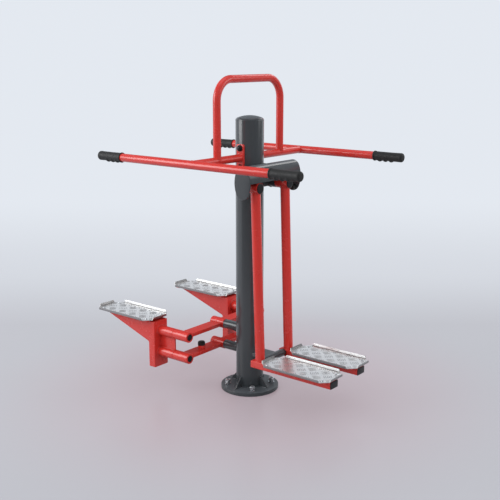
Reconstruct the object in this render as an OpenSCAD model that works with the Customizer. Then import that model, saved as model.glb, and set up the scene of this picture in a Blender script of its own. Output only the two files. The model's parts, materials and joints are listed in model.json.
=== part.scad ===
// Outdoor abductor and stepper: a park exerciser on one post.
// Frame: origin at the centre of the base plate's underside, +Z up.
// The leg abductor is on the +X side and the stepper on the -X side.
// The near side is -Y. Lengths are in millimetres, angles in degrees.

/* [Post] */
// Outer diameter of the post tube
post_d = 139.7; // [110:0.1:180]
// Wall thickness of the post tube
post_wall = 4; // [3:0.5:8]
// Height of the post's rim above the ground
post_h = 1378; // [1300:1:1450]
// Rise of the domed cap above the rim
cap_rise = 24; // [14:1:32]
// Wall thickness of the domed cap
cap_wall = 3; // [2:0.5:5]

/* [Base] */
// Diameter of the base plate
base_d = 297; // [280:1:360]
// Thickness of the base plate
base_t = 18; // [12:1:25]
// Pitch circle diameter of the anchor holes
anchor_pcd = 227; // [215:1:250]
// Diameter of the anchor holes
anchor_hole_d = 17; // [14:0.5:20]
// Height of the stiffening gussets
gusset_h = 52; // [30:1:90]
// Radial reach of the gussets beyond the post
gusset_reach = 48; // [30:1:60]
// Thickness of the gussets
gusset_t = 8; // [5:1:12]

/* [Handle frame] */
// Outer diameter of the cross tubes and of the top loop
bar_d = 38; // [32:0.5:45]
// Outer diameter of the handlebars
rail_d = 40; // [36:0.5:46]
// Wall thickness of the frame tubes
bar_wall = 3; // [2:0.5:4]
// Depth of the handlebars' axis below the post's rim
frame_drop = 178; // [150:1:190]
// Distance of each handlebar from the middle plane
bar_y = 423; // [380:1:480]
// Length of each handlebar tube
bar_len = 1210; // [1000:2:1400]
// Distance of each leg of the top loop from the middle plane
loop_y = 243; // [200:1:290]
// Height of the top loop's axis above the post's rim
loop_rise = 199; // [120:1:300]
// Bend radius of the top loop, on its axis
loop_bend = 100; // [60:1:140]
// Length of a handgrip
grip_len = 160; // [140:1:220]
// Wall thickness of a handgrip
grip_wall = 2.5; // [2:0.5:4]
// Width of a clamp plate
clamp_w = 44; // [40:1:60]
// Height of a clamp plate
clamp_h = 132; // [120:1:160]
// Thickness of a clamp plate at its middle
clamp_t = 6; // [4:0.5:10]
// Distance between the two clamp bolts
clamp_pitch = 94; // [84:1:100]
// Diameter of the clamp bolts
clamp_bolt_d = 12; // [10:1:16]

/* [Abductor head] */
// Width of the hood's oval end
hood_w = 96; // [94:1:104]
// Height of the hood's oval end
hood_h = 156; // [150:1:180]
// Radius of the oval's top and bottom
hood_end_r = 40; // [36:1:46]
// Length of the hood over its end plates
hood_len = 406; // [400:2:440]
// Thickness of the hood's sheet
hood_wall = 3; // [2:0.5:4]
// Thickness of the hood's end plates
hood_end_t = 5; // [3:0.5:8]
// Height of the hood's open lower edge
hood_z = 1099; // [1099:1:1106]
// Half-width of the neck between the post and the hood
neck_half_w = 52; // [40:1:60]
// Height of the neck's top above the hood's lower edge
neck_top = 68; // [55:1:72]
// Height of the arms that hold the pivot tubes
arm_h = 44; // [36:1:50]
// Height of the leg pivots
pivot_z = 1070; // [1066:1:1070]
// Diameter of the rubber outer stops
outer_stop_d = 28; // [20:1:30]
// Length of the rubber outer stops
outer_stop_len = 24; // [17:1:24]

/* [Abductor legs] */
// Distance of each leg's pivot from the middle plane
leg_y = 117; // [114:1:120]
// Outer diameter of a leg's pivot hub
leg_hub_d = 56; // [54:1:58]
// Length of a leg's pivot hub
leg_hub_len = 73; // [66:1:74]
// Outer diameter of the ball bearings in a hub
bearing_d = 47; // [44:0.5:48]
// Width of a ball bearing
bearing_w = 12; // [8:1:14]
// Diameter of the pivot axles and of the stepper's pins
pin_d = 25; // [20:0.5:26]
// Outer diameter of a leg tube
leg_d = 48; // [44:0.5:48]
// Wall thickness of a leg tube and of a foot bar
leg_wall = 3; // [2:0.5:4]
// Forward set of the leg tube at its top, from the rear of the hub
leg_top_set = 45; // [42:1:47]
// Distance of the leg tube's foot from the post's axis
leg_foot_x = 161; // [155:1:170]
// Width of a foot bar
foot_w = 60; // [50:1:64]
// Height of a foot bar
foot_h = 35; // [28:1:42]
// Length of a foot bar without its plug
foot_len = 472; // [455:1:485]
// Height of a foot bar's underside above the ground
foot_z = 176; // [160:1:200]
// Diameter of the inner stop's cross tube and buffers
inner_stop_d = 38; // [30:1:42]
// Length of a rubber buffer on the inner stop
buffer_len = 10; // [8:1:16]
// Width of the inner stop's stem
stem_w = 90; // [60:1:110]

/* [Foot plates] */
// Length of a foot plate's tread
plate_len = 400; // [380:1:420]
// Width of a foot plate's tread
plate_w = 184; // [170:1:190]
// Size of the cut at each corner of a foot plate
plate_cut = 39; // [25:1:45]
// Thickness of the foot plate's sheet
sheet_t = 3; // [2:0.5:4]
// Height of the rims that stand up round a foot plate
rim_h = 15; // [10:1:20]
// Outward lean of the rims
rim_lean = 15; // [5:1:25]
// Inner bend radius of the rims
rim_bend = 3; // [2:0.5:5]
// Thickness of the straps that carry a foot plate
strap_t = 9; // [8:1:12]
// Distance of the plate screws from the plate's ends
screw_inset = 40; // [34:1:50]
// Distance between the plate screws across the plate
screw_pitch = 112; // [100:1:120]

/* [Stepper] */
// Distance of each step's pivots from the middle plane
step_y = 290; // [270:1:320]
// Height of the lower pivots
lower_z = 196.5; // [190:0.5:205]
// Distance between the lower and upper pivots
link_rise = 112; // [106:1:118]
// Outer diameter of the stepper's hubs
hub_d = 52; // [49:0.5:55]
// Wall thickness of the sleeve bushes
bush_wall = 1.5; // [1:0.25:2.5]
// Length of a sleeve bush
bush_len = 29; // [24:1:30]
// Length of a rocker's middle hub
mid_hub_len = 87; // [80:1:92]
// Length of a rocker's end hubs
end_hub_len = 98; // [92:1:106]
// Width of a rocker's flat arms
rocker_w = 66; // [54:1:72]
// Thickness of a rocker's flat arms
rocker_t = 20; // [14:1:24]
// Length of the axle tubes between post and rocker
axle_reach = 92; // [84:1:110]
// Outer diameter of the axle tubes
axle_tube_d = 48; // [42:0.5:50]
// Distance of the bump stops from the middle plane
bump_y = 149; // [110:1:180]
// Diameter of a bump stop
bump_d = 38; // [30:1:44]
// Height of a bump stop's rubber
bump_h = 21; // [14:1:26]
// Length of the fixed hub stubs on a step column
stub_len = 103; // [90:1:120]
// Width of a step column, across the machine
column_w = 95; // [90:1:110]
// Depth of a step column
column_d = 41; // [36:1:50]
// Height of a step column's foot above the ground
column_z = 117; // [105:1:125]
// Height of a step column's head above the upper pivot
column_rise = 51; // [44:1:60]
// Wall thickness of a step column and its brackets
column_wall = 4; // [3:0.5:6]
// Reach of a step plate beyond the end of its bracket
bracket_inset = 25; // [15:1:40]
// Height of the bracket's side plates at the column
bracket_h = 109; // [90:1:120]

/* [Hidden] */

$fn = 64;
eps = 0.01;

// Clearances
run_fit = 0.05;        // running fit of a shaft in its bush or bearing, on the radius
seat_fit = 0.02;       // seat of a piece that is pressed or screwed in, on the radius
open_fit = 0.4;        // play of the lower step pins, where the closed linkage is opened
side_play = 1;         // play between a hub's end and the face beside it
rest_gap = 0.3;        // gap between a rubber stop and what rests on it
weld_gap = 0.1;        // gap at a coped tube end

// Colours
red = [0.72, 0.17, 0.14];
grey = [0.22, 0.23, 0.24];
black = [0.07, 0.07, 0.08];
zinc = [0.72, 0.73, 0.75];
tread = [0.78, 0.78, 0.79];
bronze = [0.55, 0.42, 0.25];

// Post and base
post_r = post_d / 2;
base_ledge = 20;       // reach of the base plate inside the post
base_bore_r = post_r - post_wall - base_ledge;
anchor_d = anchor_hole_d - 1;
washer_d = 1.9 * anchor_d;
washer_t = 4;
nut_flats = 1.5 * anchor_d;
nut_h = 0.8 * anchor_d;
lock_nut_h = 0.55 * anchor_d;
nut_turn = 15;
gusset_toe = 4;
gusset_top_w = 6;

// Handle frame
frame_z = post_h - frame_drop;
loop_z = post_h + loop_rise;
bar_r = bar_d / 2;
rail_r = rail_d / 2;
clamp_face_y = post_r + clamp_t;
loop_straight = loop_y - loop_bend;
bolt_head_flats = 1.5 * clamp_bolt_d;
bolt_head_h = 0.55 * clamp_bolt_d;
dome_cap_r = 16.5;
dome_cap_h = 16;
grip_r = rail_r + grip_wall;
grip_end_t = 10;
collar_w = 6;
collar_rise = 2.5;
grip_ridges = 3;
ridge_pitch = 32;
ridge_drop = 3.5;
ridge_half_w = 13;

// Abductor head
hood_x = post_r + hood_w / 2;
hood_in_y = hood_len / 2 - hood_end_t;
neck_low = 25;         // height of the neck's underside above the hood's lower edge
arm_x = 30;
arm_t = 16;
hub_set = 15;          // distance of the hubs' rear ends in front of the post
hub_rear_x = post_r + hub_set;
arm_tube_front = hub_rear_x - side_play;
leg_hub_front = hub_rear_x + leg_hub_len;
nut_room = 12;         // room for the nut and the cap at a hub's front
axle_end_x = leg_hub_front - nut_room;
axle_head = 5;
axle_stub_d = 16;
axle_stub_len = 11;
cap_flange_t = 4;
stop_x = hood_x + 10;
stop_fall = 31;
stop_z = pivot_z - stop_fall;

// Abductor legs
leg_top_x = hub_rear_x + leg_top_set;
foot_top = foot_z + foot_h;
leg_fall = pivot_z - foot_top;
leg_angle = atan((leg_foot_x - leg_top_x) / leg_fall);
leg_tube_len = leg_fall / cos(leg_angle);
foot_heel = 37;        // length of a foot bar behind the leg tube's axis
foot_rear_x = leg_foot_x - foot_heel;
plate_overhang = 15;   // reach of a foot plate beyond the front of its bar
foot_plate_x = foot_rear_x + foot_len + plate_overhang - plate_len / 2;
foot_plate_z = foot_top + strap_t;
stop_lift = 3.5;       // height of the inner stop's axis above the middle of the foot bars
inner_stop_z = foot_z + foot_h / 2 + stop_lift;
inner_stop_x = leg_foot_x - 9;
stem_t = 20;
stop_round = 3;

// Foot plates
strap_w = 30;
strap_end = 12;        // length of a strap beyond each screw
strap_len = screw_pitch + 2 * strap_end;
plate_hole_d = 8;
screw_x = plate_len / 2 - screw_inset;
screw_head_d = 14;
screw_head_h = 3;
rim_taper = 0.5;       // set-back of a rim's top corners, as a share of its height

// Stepper
upper_z = lower_z + link_rise;
mid_hub_front = -(post_r + axle_reach + side_play);
mid_hub_rear = mid_hub_front - mid_hub_len;
end_hub_rear = mid_hub_rear;
end_hub_front = end_hub_rear + end_hub_len;
rocker_x = (end_hub_rear + end_hub_front) / 2;
stub_front = end_hub_rear - side_play;
column_front = stub_front - stub_len;
column_rear = column_front - column_d;
column_top = upper_z + column_rise;
bush_bore_r = pin_d / 2 + run_fit;
hub_bore_r = pin_d / 2 + run_fit + bush_wall;
plug_len = 7;
plug_stand = 1.5;
plug_lip = 3;          // reach of a plug's flange beyond the hub's bore
retainer_len = 12;
pad_h = 16;
top_plate_t = 6;
web_t = 8;
step_plate_set = 6;    // distance of a step plate's edge behind the column's front
step_plate_x = column_front - step_plate_set - plate_len / 2;
step_plate_z = column_top + strap_t;
bracket_end = step_plate_x - plate_len / 2 + bracket_inset;
bracket_tip = 33;      // distance of a side plate's point from the bracket's end
drain_r = 6;

// A solid rod along X, Y or Z
module rod_x(x0, x1, r) translate([x0, 0, 0]) rotate([0, 90, 0]) cylinder(h = x1 - x0, r = r);
module rod_y(y0, y1, r) translate([0, y0, 0]) rotate([-90, 0, 0]) cylinder(h = y1 - y0, r = r);
module rod_z(z0, z1, r) translate([0, 0, z0]) cylinder(h = z1 - z0, r = r);

// A ring or tube along X
module ring_x(x0, x1, r, bore) {
    difference() {
        rod_x(x0, x1, r);
        rod_x(x0 - 1, x1 + 1, bore);
    }
}

// A block given by its low and high corners
module block(low, high) translate(low) cube(high - low);

// The two sides of the machine: 1 is the far side (+Y), -1 the near side
module both_sides() {
    for (side = [-1, 1]) mirrored(side) children();
}
module mirrored(side) {
    if (side > 0) children();
    else mirror([0, 1, 0]) children();
}

// Places things at the four anchor holes, or at the two clamp bolts
module at_anchors() {
    for (i = [0:3]) rotate(45 + 90 * i) translate([anchor_pcd / 2, 0, 0]) children();
}
module at_clamp_bolts() {
    for (s = [-1, 1]) translate([0, 0, frame_z + s * clamp_pitch / 2]) children();
}

// POST AND BASE

// The post tube, drilled for the two clamp bolts
module post() {
    color(grey) difference() {
        rod_z(base_t, post_h, post_r);
        rod_z(base_t - 1, post_h + 1, post_r - post_wall);
        at_clamp_bolts() rod_y(-post_r - 1, post_r + 1, clamp_bolt_d / 2 + run_fit);
    }
}

// A pressed cap: a shallow dome with a rolled edge and a collar inside the tube
module post_cap() {
    dome_r = (post_r * post_r + cap_rise * cap_rise) / (2 * cap_rise);
    collar_r = post_r - post_wall - seat_fit;
    color(grey) translate([0, 0, post_h]) difference() {
        union() {
            intersection() {
                translate([0, 0, cap_rise - dome_r]) sphere(r = dome_r, $fn = 128);
                rod_z(0, cap_rise + 1, post_r);
            }
            rod_z(-20, eps, collar_r);
        }
        rod_z(-21, 1, collar_r - cap_wall);
        intersection() {
            translate([0, 0, cap_rise - dome_r]) sphere(r = dome_r - cap_wall, $fn = 128);
            rod_z(0, cap_rise, collar_r - cap_wall);
        }
    }
}

module base_plate() {
    color(grey) difference() {
        rod_z(0, base_t, base_d / 2);
        rod_z(-1, base_t + 1, base_bore_r);
        at_anchors() rod_z(-1, base_t + 1, anchor_hole_d / 2);
    }
}

module base_gussets() {
    color(grey) for (i = [0:3]) rotate(90 * i) difference() {
        translate([0, gusset_t / 2, base_t]) rotate([90, 0, 0]) linear_extrude(gusset_t)
            polygon([[post_r - post_wall, 0], [post_r + gusset_reach, 0], [post_r + gusset_reach, gusset_toe],
                     [post_r + gusset_top_w, gusset_h], [post_r - post_wall, gusset_h]]);
        rod_z(0, post_h, post_r + weld_gap / 2);
    }
}

module anchor_washers() {
    color(zinc) at_anchors() difference() {
        rod_z(base_t, base_t + washer_t, washer_d / 2);
        rod_z(0, base_t + 2 * washer_t, anchor_d / 2);
    }
}

// A nut on each washer, with a thin lock nut on top of it
module anchor_nuts() {
    color(zinc) at_anchors() translate([0, 0, base_t + washer_t]) difference() {
        union() {
            rotate(nut_turn) hex_nut(nut_h);
            translate([0, 0, nut_h - eps]) rotate(-nut_turn) hex_nut(lock_nut_h);
        }
        rod_z(-1, nut_h + lock_nut_h + 1, anchor_d / 2);
    }
}

// A hexagon whose upper corners are turned down
module hex_nut(h) {
    intersection() {
        cylinder(h = h, r = nut_flats / sqrt(3), $fn = 6);
        cylinder(h = h, r1 = nut_flats / 2 + 2 + h, r2 = nut_flats / 2 + 0.3);
    }
}

// HANDLE FRAME

// A rectangle about the origin with round corners
module rounded_square(w, h, r) {
    square([w - 2 * r, h], center = true);
    square([w, h - 2 * r], center = true);
    for (s = [-1, 1], t = [-1, 1]) translate([s * (w / 2 - r), t * (h / 2 - r)]) circle(r = r);
}

// One plate on each side of the post, its back hollowed to the post
module clamp_plates() {
    color(red) both_sides() difference() {
        translate([0, clamp_face_y, frame_z]) rotate([90, 0, 0])
            linear_extrude(clamp_t + 12) rounded_square(clamp_w, clamp_h, 6);
        rod_z(0, post_h, post_r + weld_gap / 2);
        at_clamp_bolts() rod_y(0, clamp_face_y + 1, clamp_bolt_d / 2 + run_fit);
    }
}

// Two bolts right through the post, each with a head and a nut
module clamp_bolts() {
    color(zinc) at_clamp_bolts() {
        rod_y(-clamp_face_y - 1, clamp_face_y + bolt_head_h, clamp_bolt_d / 2);
        for (side = [-1, 1]) mirrored(side) translate([0, clamp_face_y, 0])
            rotate([-90, 0, 0]) cylinder(h = bolt_head_h, r = bolt_head_flats / sqrt(3), $fn = 6);
    }
}

// Black domed covers over the bolt heads and nuts
module bolt_caps() {
    dome_r = (dome_cap_r * dome_cap_r + dome_cap_h * dome_cap_h) / (2 * dome_cap_h);
    color(black) both_sides() at_clamp_bolts() translate([0, clamp_face_y, 0]) rotate([-90, 0, 0])
        difference() {
            intersection() {
                translate([0, 0, dome_cap_h - dome_r]) sphere(r = dome_r);
                rod_z(0, dome_cap_h, dome_cap_r);
            }
            rod_z(-1, bolt_head_h + 0.5, bolt_head_flats / sqrt(3) + 0.3);
        }
}

// Half a cross tube, from the clamp plate to the coped joint at the handlebar
module cross_tube(side) {
    color(red) mirrored(side) translate([0, 0, frame_z]) difference() {
        rod_y(clamp_face_y, bar_y, bar_r);
        rod_y(clamp_face_y - 1, bar_y + 1, bar_r - bar_wall);
        translate([0, bar_y, 0]) rod_x(-rail_d, rail_d, rail_r + weld_gap);
    }
}

// The path of the loop as a solid of radius r
module loop_path(r) {
    both_sides() {
        translate([0, loop_y, 0]) rod_z(frame_z, loop_z - loop_bend, r);
        translate([0, loop_straight, loop_z - loop_bend]) rotate([0, -90, 0])
            rotate_extrude(angle = 90) translate([loop_bend, 0]) circle(r = r);
    }
    translate([0, 0, loop_z]) rod_y(-loop_straight, loop_straight, r);
}

module top_loop() {
    color(red) difference() {
        loop_path(bar_r);
        loop_path(bar_r - bar_wall);
        translate([0, 0, frame_z]) rod_y(-bar_y, bar_y, bar_r + weld_gap);
    }
}

module handlebar(side) {
    color(red) translate([0, side * bar_y, frame_z])
        ring_x(-bar_len / 2, bar_len / 2, rail_r, rail_r - bar_wall);
}

// A rubber grip: a closed sleeve with a collar and finger ridges along its underside
module grip(side, dir) {
    tube_end = bar_len / 2;
    start = tube_end - grip_len + grip_end_t;
    color(black) translate([0, side * bar_y, frame_z]) rotate([0, 0, dir > 0 ? 0 : 180]) difference() {
        union() {
            rod_x(start, tube_end, grip_r);
            rod_x(start, start + collar_w, grip_r + collar_rise);
            translate([tube_end, 0, 0]) rotate([0, 90, 0]) rotate_extrude() intersection() {
                translate([0, -eps]) square([grip_r, grip_end_t + eps]);
                union() {
                    square([grip_r - grip_end_t, grip_end_t]);
                    translate([grip_r - grip_end_t, 0]) circle(r = grip_end_t);
                }
            }
            for (i = [1:grip_ridges])
                translate([start + ridge_pitch * i, 0, -ridge_drop]) rotate([0, 90, 0]) grip_ridge();
        }
        rod_x(start - 1, tube_end, rail_r + seat_fit);
    }
}

// One finger ridge about +Z: a disc with sloping flanks, set low so that it shows only underneath
module grip_ridge() {
    crest = grip_r + 1.2;
    foot = grip_r - 3;
    flat = 3;
    for (s = [0, 1]) mirror([0, 0, s]) {
        cylinder(h = flat, r = crest);
        translate([0, 0, flat - eps]) cylinder(h = ridge_half_w - flat, r1 = crest, r2 = foot);
    }
}

// ABDUCTOR HEAD

// Half-width and half-height a and b, top and bottom radius r: an oval of four arcs
module oval(a, b, r) {
    rise = b - r;
    shift = (rise * rise - (a - r) * (a - r)) / (2 * (a - r));
    side_r = a + shift;
    reach = side_r / (side_r - r);
    for (s = [-1, 1]) translate([0, s * rise]) circle(r = r);
    intersection() {
        translate([-shift, 0]) circle(r = side_r, $fn = 128);
        translate([shift, 0]) circle(r = side_r, $fn = 128);
        square([4 * a, 2 * rise * reach], center = true);
    }
}

module hood_oval(inset) oval(hood_w / 2 - inset, hood_h / 2 - inset, hood_end_r - inset);

// The oval as a bar along the machine's width
module hood_bar(half_len, inset) {
    translate([hood_x, half_len, hood_z]) rotate([90, 0, 0]) linear_extrude(2 * half_len) hood_oval(inset);
}

// The upper half of the oval as a bent sheet between the end plates
module hood_shell() {
    color(grey) difference() {
        hood_bar(hood_in_y, 0);
        hood_bar(hood_in_y + 1, hood_wall);
        block([0, -hood_len, hood_z - hood_h], [3 * hood_x, hood_len, hood_z]);
    }
}

// The neck that carries the hood on the post, shaped to both
module hood_neck() {
    color(grey) difference() {
        block([post_r / 2, -neck_half_w, hood_z + neck_low], [hood_x, neck_half_w, hood_z + neck_top]);
        hood_bar(hood_in_y, -weld_gap / 2);
        rod_z(0, post_h, post_r + weld_gap / 2);
    }
}

module hood_end_plates() {
    color(grey) both_sides() translate([hood_x, hood_in_y + hood_end_t, hood_z]) rotate([90, 0, 0])
        linear_extrude(hood_end_t) hood_oval(0);
}

// Rubber stops inside the end plates, which end the outward swing of the legs
module outer_stops() {
    color(black) both_sides() translate([stop_x, 0, stop_z])
        rod_y(hood_in_y - outer_stop_len, hood_in_y, outer_stop_d / 2);
}

// An arm on each side of the post, with the thick tube that holds a pivot axle
module pivot_arms() {
    color(grey) both_sides() difference() {
        union() {
            block([arm_x, 0, pivot_z - arm_h / 2], [arm_x + arm_t, leg_y, pivot_z + arm_h / 2]);
            translate([0, leg_y, pivot_z]) rod_x(arm_x, arm_tube_front, leg_hub_d / 2);
        }
        rod_z(0, post_h, post_r + weld_gap / 2);
        translate([0, leg_y, pivot_z]) rod_x(0, hood_x, pin_d / 2 + seat_fit);
    }
}

module pivot_axles() {
    color(zinc) both_sides() translate([0, leg_y, pivot_z]) {
        rod_x(arm_x - axle_head, axle_end_x, pin_d / 2);
        rod_x(axle_end_x - 1, axle_end_x + axle_stub_len, axle_stub_d / 2);
    }
}

// Flange nuts that keep the leg hubs on their axles
module pivot_nuts() {
    color(zinc) both_sides() translate([axle_end_x, leg_y, pivot_z]) difference() {
        union() {
            rod_x(0, 2.5, pin_d / 2 + 4);
            rotate([0, 90, 0]) cylinder(h = axle_stub_len, r = 12 / cos(30), $fn = 6);
        }
        rod_x(-1, axle_stub_len + 1, axle_stub_d / 2 + seat_fit);
    }
}

// The T-shaped stop on the post between the foot bars
module inner_stop() {
    half = leg_y - foot_w / 2 - rest_gap - buffer_len;
    color(grey) difference() {
        union() {
            translate([inner_stop_x, 0, inner_stop_z]) rod_y(-half, half, inner_stop_d / 2);
            block([post_r / 2, -stem_w / 2, inner_stop_z - stem_t / 2],
                  [inner_stop_x, stem_w / 2, inner_stop_z + stem_t / 2]);
        }
        rod_z(0, post_h, post_r + weld_gap / 2);
    }
}

module inner_stop_buffers() {
    half = leg_y - foot_w / 2 - rest_gap;
    color(black) both_sides() translate([inner_stop_x, half, inner_stop_z]) rotate([90, 0, 0])
        rotate_extrude() intersection() {
            square([inner_stop_d / 2, buffer_len]);
            union() {
                translate([0, stop_round]) square([inner_stop_d / 2, buffer_len]);
                square([inner_stop_d / 2 - stop_round, buffer_len]);
                translate([inner_stop_d / 2 - stop_round, stop_round]) circle(r = stop_round);
            }
        }
}

// ABDUCTOR LEGS

// Puts a leg tube's own axis, rising along +Z from its foot, where it belongs
module on_leg() {
    translate([leg_foot_x, leg_y, foot_top]) rotate([0, -leg_angle, 0]) children();
}

module leg_hub(side) {
    color(red) mirrored(side) translate([0, leg_y, pivot_z])
        ring_x(hub_rear_x, leg_hub_front, leg_hub_d / 2, bearing_d / 2);
}

module leg_tube(side) {
    color(red) mirrored(side) difference() {
        on_leg() rod_z(-leg_d, leg_tube_len, leg_d / 2);
        on_leg() rod_z(-leg_d - 1, leg_tube_len + 1, leg_d / 2 - leg_wall);
        translate([0, leg_y, pivot_z]) rod_x(0, 2 * leg_hub_front, leg_hub_d / 2 + weld_gap / 2);
        block([0, 0, 0], [2 * leg_foot_x, 2 * leg_y, foot_top]);
    }
}

// Straps across a bar or bracket that a foot plate is screwed to
module straps(x, y, z) {
    for (s = [-1, 1]) translate([x + s * screw_x, y, z]) difference() {
        block([-strap_w / 2, -strap_len / 2, 0], [strap_w / 2, strap_len / 2, strap_t]);
        for (t = [-1, 1]) translate([0, t * screw_pitch / 2, 0]) rod_z(-1, strap_t + 1, plate_hole_d / 2);
    }
}

module foot_bar(side) {
    low_y = leg_y - foot_w / 2;
    high_y = leg_y + foot_w / 2;
    color(red) mirrored(side) {
        difference() {
            block([foot_rear_x, low_y, foot_z], [foot_rear_x + foot_len, high_y, foot_top]);
            block([foot_rear_x + leg_wall, low_y + leg_wall, foot_z + leg_wall],
                  [foot_rear_x + foot_len + 1, high_y - leg_wall, foot_top - leg_wall]);
        }
        straps(foot_plate_x, leg_y, foot_top);
    }
}

// Two sealed ball bearings: outer ring, inner ring and shields drawn as one profile
module ball_bearing() {
    r0 = pin_d / 2 + run_fit;
    r1 = bearing_d / 2 - seat_fit;
    band = (r1 - r0) / 4;
    rotate([0, 90, 0]) rotate_extrude() difference() {
        translate([r0, 0]) square([r1 - r0, bearing_w]);
        for (z = [-1, bearing_w - 0.8]) translate([r0 + band, z]) square([r1 - r0 - 2 * band, 1.8]);
    }
}

module leg_bearings(side) {
    color(zinc) mirrored(side) translate([0, leg_y, pivot_z]) {
        translate([hub_rear_x + 4, 0, 0]) ball_bearing();
        translate([axle_end_x - 0.4 - bearing_w, 0, 0]) ball_bearing();
    }
}

// A moulded cap pressed into the front of a leg hub
module pivot_cap(side) {
    color(black) mirrored(side) translate([leg_hub_front, leg_y, pivot_z]) {
        ring_x(-8, eps, bearing_d / 2 - seat_fit, bearing_d / 2 - 3);
        rotate([0, 90, 0]) rotate_extrude() intersection() {
            square([bearing_d / 2 + 2, cap_flange_t]);
            union() {
                square([bearing_d / 2 - 1, cap_flange_t]);
                translate([bearing_d / 2 - 1, cap_flange_t - 3]) circle(r = 3);
                square([bearing_d / 2 + 2, cap_flange_t - 3]);
            }
        }
    }
}

module foot_plug(side) {
    x = foot_rear_x + foot_len;
    inner = foot_w / 2 - leg_wall - seat_fit;
    color(black) mirrored(side) translate([x, leg_y, foot_z]) {
        block([0, -foot_w / 2, 0], [4, foot_w / 2, foot_h]);
        difference() {
            block([-20, -inner, leg_wall + seat_fit], [eps, inner, foot_h - leg_wall - seat_fit]);
            block([-21, -inner + 3, leg_wall + 3], [-3, inner - 3, foot_h - leg_wall - 3]);
        }
    }
}

// FOOT PLATES

// The rim's section, in the plane across its bend line: a bend and a leaning strip
module rim_section() {
    out_r = rim_bend + sheet_t;
    turn = 90 - rim_lean;
    translate([0, out_r]) {
        difference() {
            circle(r = out_r);
            circle(r = rim_bend);
            rotate(turn - 90) translate([-2 * out_r, 0]) square(4 * out_r);
            translate([-2 * out_r, -2 * out_r]) square([2 * out_r, 4 * out_r]);
        }
        rotate(turn - 90) translate([rim_bend, -eps]) square([sheet_t, rim_h - out_r * sin(turn)]);
    }
}

// One rim of length len along X, bent up at y = 0, its ends cut back towards the top
module rim(len) {
    intersection() {
        translate([-len / 2, 0, 0]) rotate([90, 0, 90]) linear_extrude(len) rim_section();
        translate([0, 30, 0]) rotate([90, 0, 0]) linear_extrude(60)
            polygon([[-len / 2, -1], [len / 2, -1], [len / 2, 2], [len / 2 - rim_taper * rim_h, rim_h + 2],
                     [-len / 2 + rim_taper * rim_h, rim_h + 2], [-len / 2, 2]]);
    }
}

// A tread plate of bent sheet: four corners cut off, four rims bent up, four holes
module tread_plate(x, y, z) {
    half_l = plate_len / 2 - rim_bend - sheet_t;
    half_w = plate_w / 2 - rim_bend - sheet_t;
    cut = plate_cut - rim_bend - sheet_t;
    color(tread) translate([x, y, z]) difference() {
        union() {
            linear_extrude(sheet_t) polygon([
                [half_l, half_w - cut], [half_l - cut, half_w],
                [-half_l + cut, half_w], [-half_l, half_w - cut],
                [-half_l, -half_w + cut], [-half_l + cut, -half_w],
                [half_l - cut, -half_w], [half_l, -half_w + cut]]);
            for (a = [0, 180]) rotate(a) {
                translate([0, half_w - eps, 0]) rim(2 * (half_l - cut));
                rotate(90) translate([0, half_l - eps, 0]) rim(2 * (half_w - cut));
            }
        }
        for (s = [-1, 1], t = [-1, 1]) translate([s * screw_x, t * screw_pitch / 2, 0])
            rod_z(-1, sheet_t + 1, plate_hole_d / 2);
    }
}

// Round-headed screws with their shanks in the straps
module plate_screws(x, y, z) {
    color(zinc) for (s = [-1, 1], t = [-1, 1])
        translate([x + s * screw_x, y + t * screw_pitch / 2, z + sheet_t]) {
            rod_z(-strap_t - sheet_t + 1, 0.5, plate_hole_d / 2 - run_fit);
            difference() {
                cylinder(h = screw_head_h, r1 = screw_head_d / 2, r2 = screw_head_d / 2 - 2);
                translate([0, 0, 1.2]) cylinder(h = screw_head_h, r = 2.9, $fn = 6);
            }
        }
}

// STEPPER

module step_axle_tubes() {
    color(grey) for (z = [lower_z, upper_z]) difference() {
        translate([0, 0, z])
            ring_x(mid_hub_front + side_play, -post_r / 2, axle_tube_d / 2, pin_d / 2 + seat_fit);
        rod_z(0, post_h, post_r + weld_gap / 2);
    }
}

// Shafts through the axle tubes, each ending in a bolt and washer that keep the rocker on
module step_axles() {
    pin_end = mid_hub_rear + plug_len + retainer_len;
    color(zinc) for (z = [lower_z, upper_z]) difference() {
        translate([0, 0, z]) {
            rod_x(pin_end, -post_r / 2, pin_d / 2);
            mirror([1, 0, 0]) translate([-pin_end, 0, 0]) retainer();
        }
        rod_z(0, post_h, post_r + weld_gap);
    }
}

// The washer and bolt head on a pin's end, along +X
module retainer() {
    rod_x(-eps, 3, pin_d / 2 + bush_wall / 2);
    translate([3 - eps, 0, 0]) rotate([0, 90, 0]) cylinder(h = 6.4, r = 17 / 2 / cos(30), $fn = 6);
}

// A rocker: three hubs on two flat arms, welded into one piece
module rocker(z) {
    arm_end = step_y - hub_d / 2 + 4;
    translate([0, 0, z]) difference() {
        union() {
            rod_x(mid_hub_rear, mid_hub_front, hub_d / 2);
            both_sides() {
                translate([0, step_y, 0]) rod_x(end_hub_rear, end_hub_front, hub_d / 2);
                block([rocker_x - rocker_w / 2, hub_d / 2 - 4, -rocker_t / 2],
                      [rocker_x + rocker_w / 2, arm_end, rocker_t / 2]);
            }
        }
        rod_x(mid_hub_rear - 1, mid_hub_front + 1, hub_bore_r);
        both_sides() translate([0, step_y, 0]) rod_x(end_hub_rear - 1, end_hub_front + 1, hub_bore_r);
    }
}

module upper_rocker() color(red) rocker(upper_z);

// The lower rocker also carries a round pad under each bump stop
module lower_rocker() {
    color(red) {
        rocker(lower_z);
        both_sides() translate([rocker_x, bump_y, lower_z])
            rod_z(rocker_t / 2 - eps, rocker_t / 2 + pad_h, bump_d / 2);
    }
}

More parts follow.
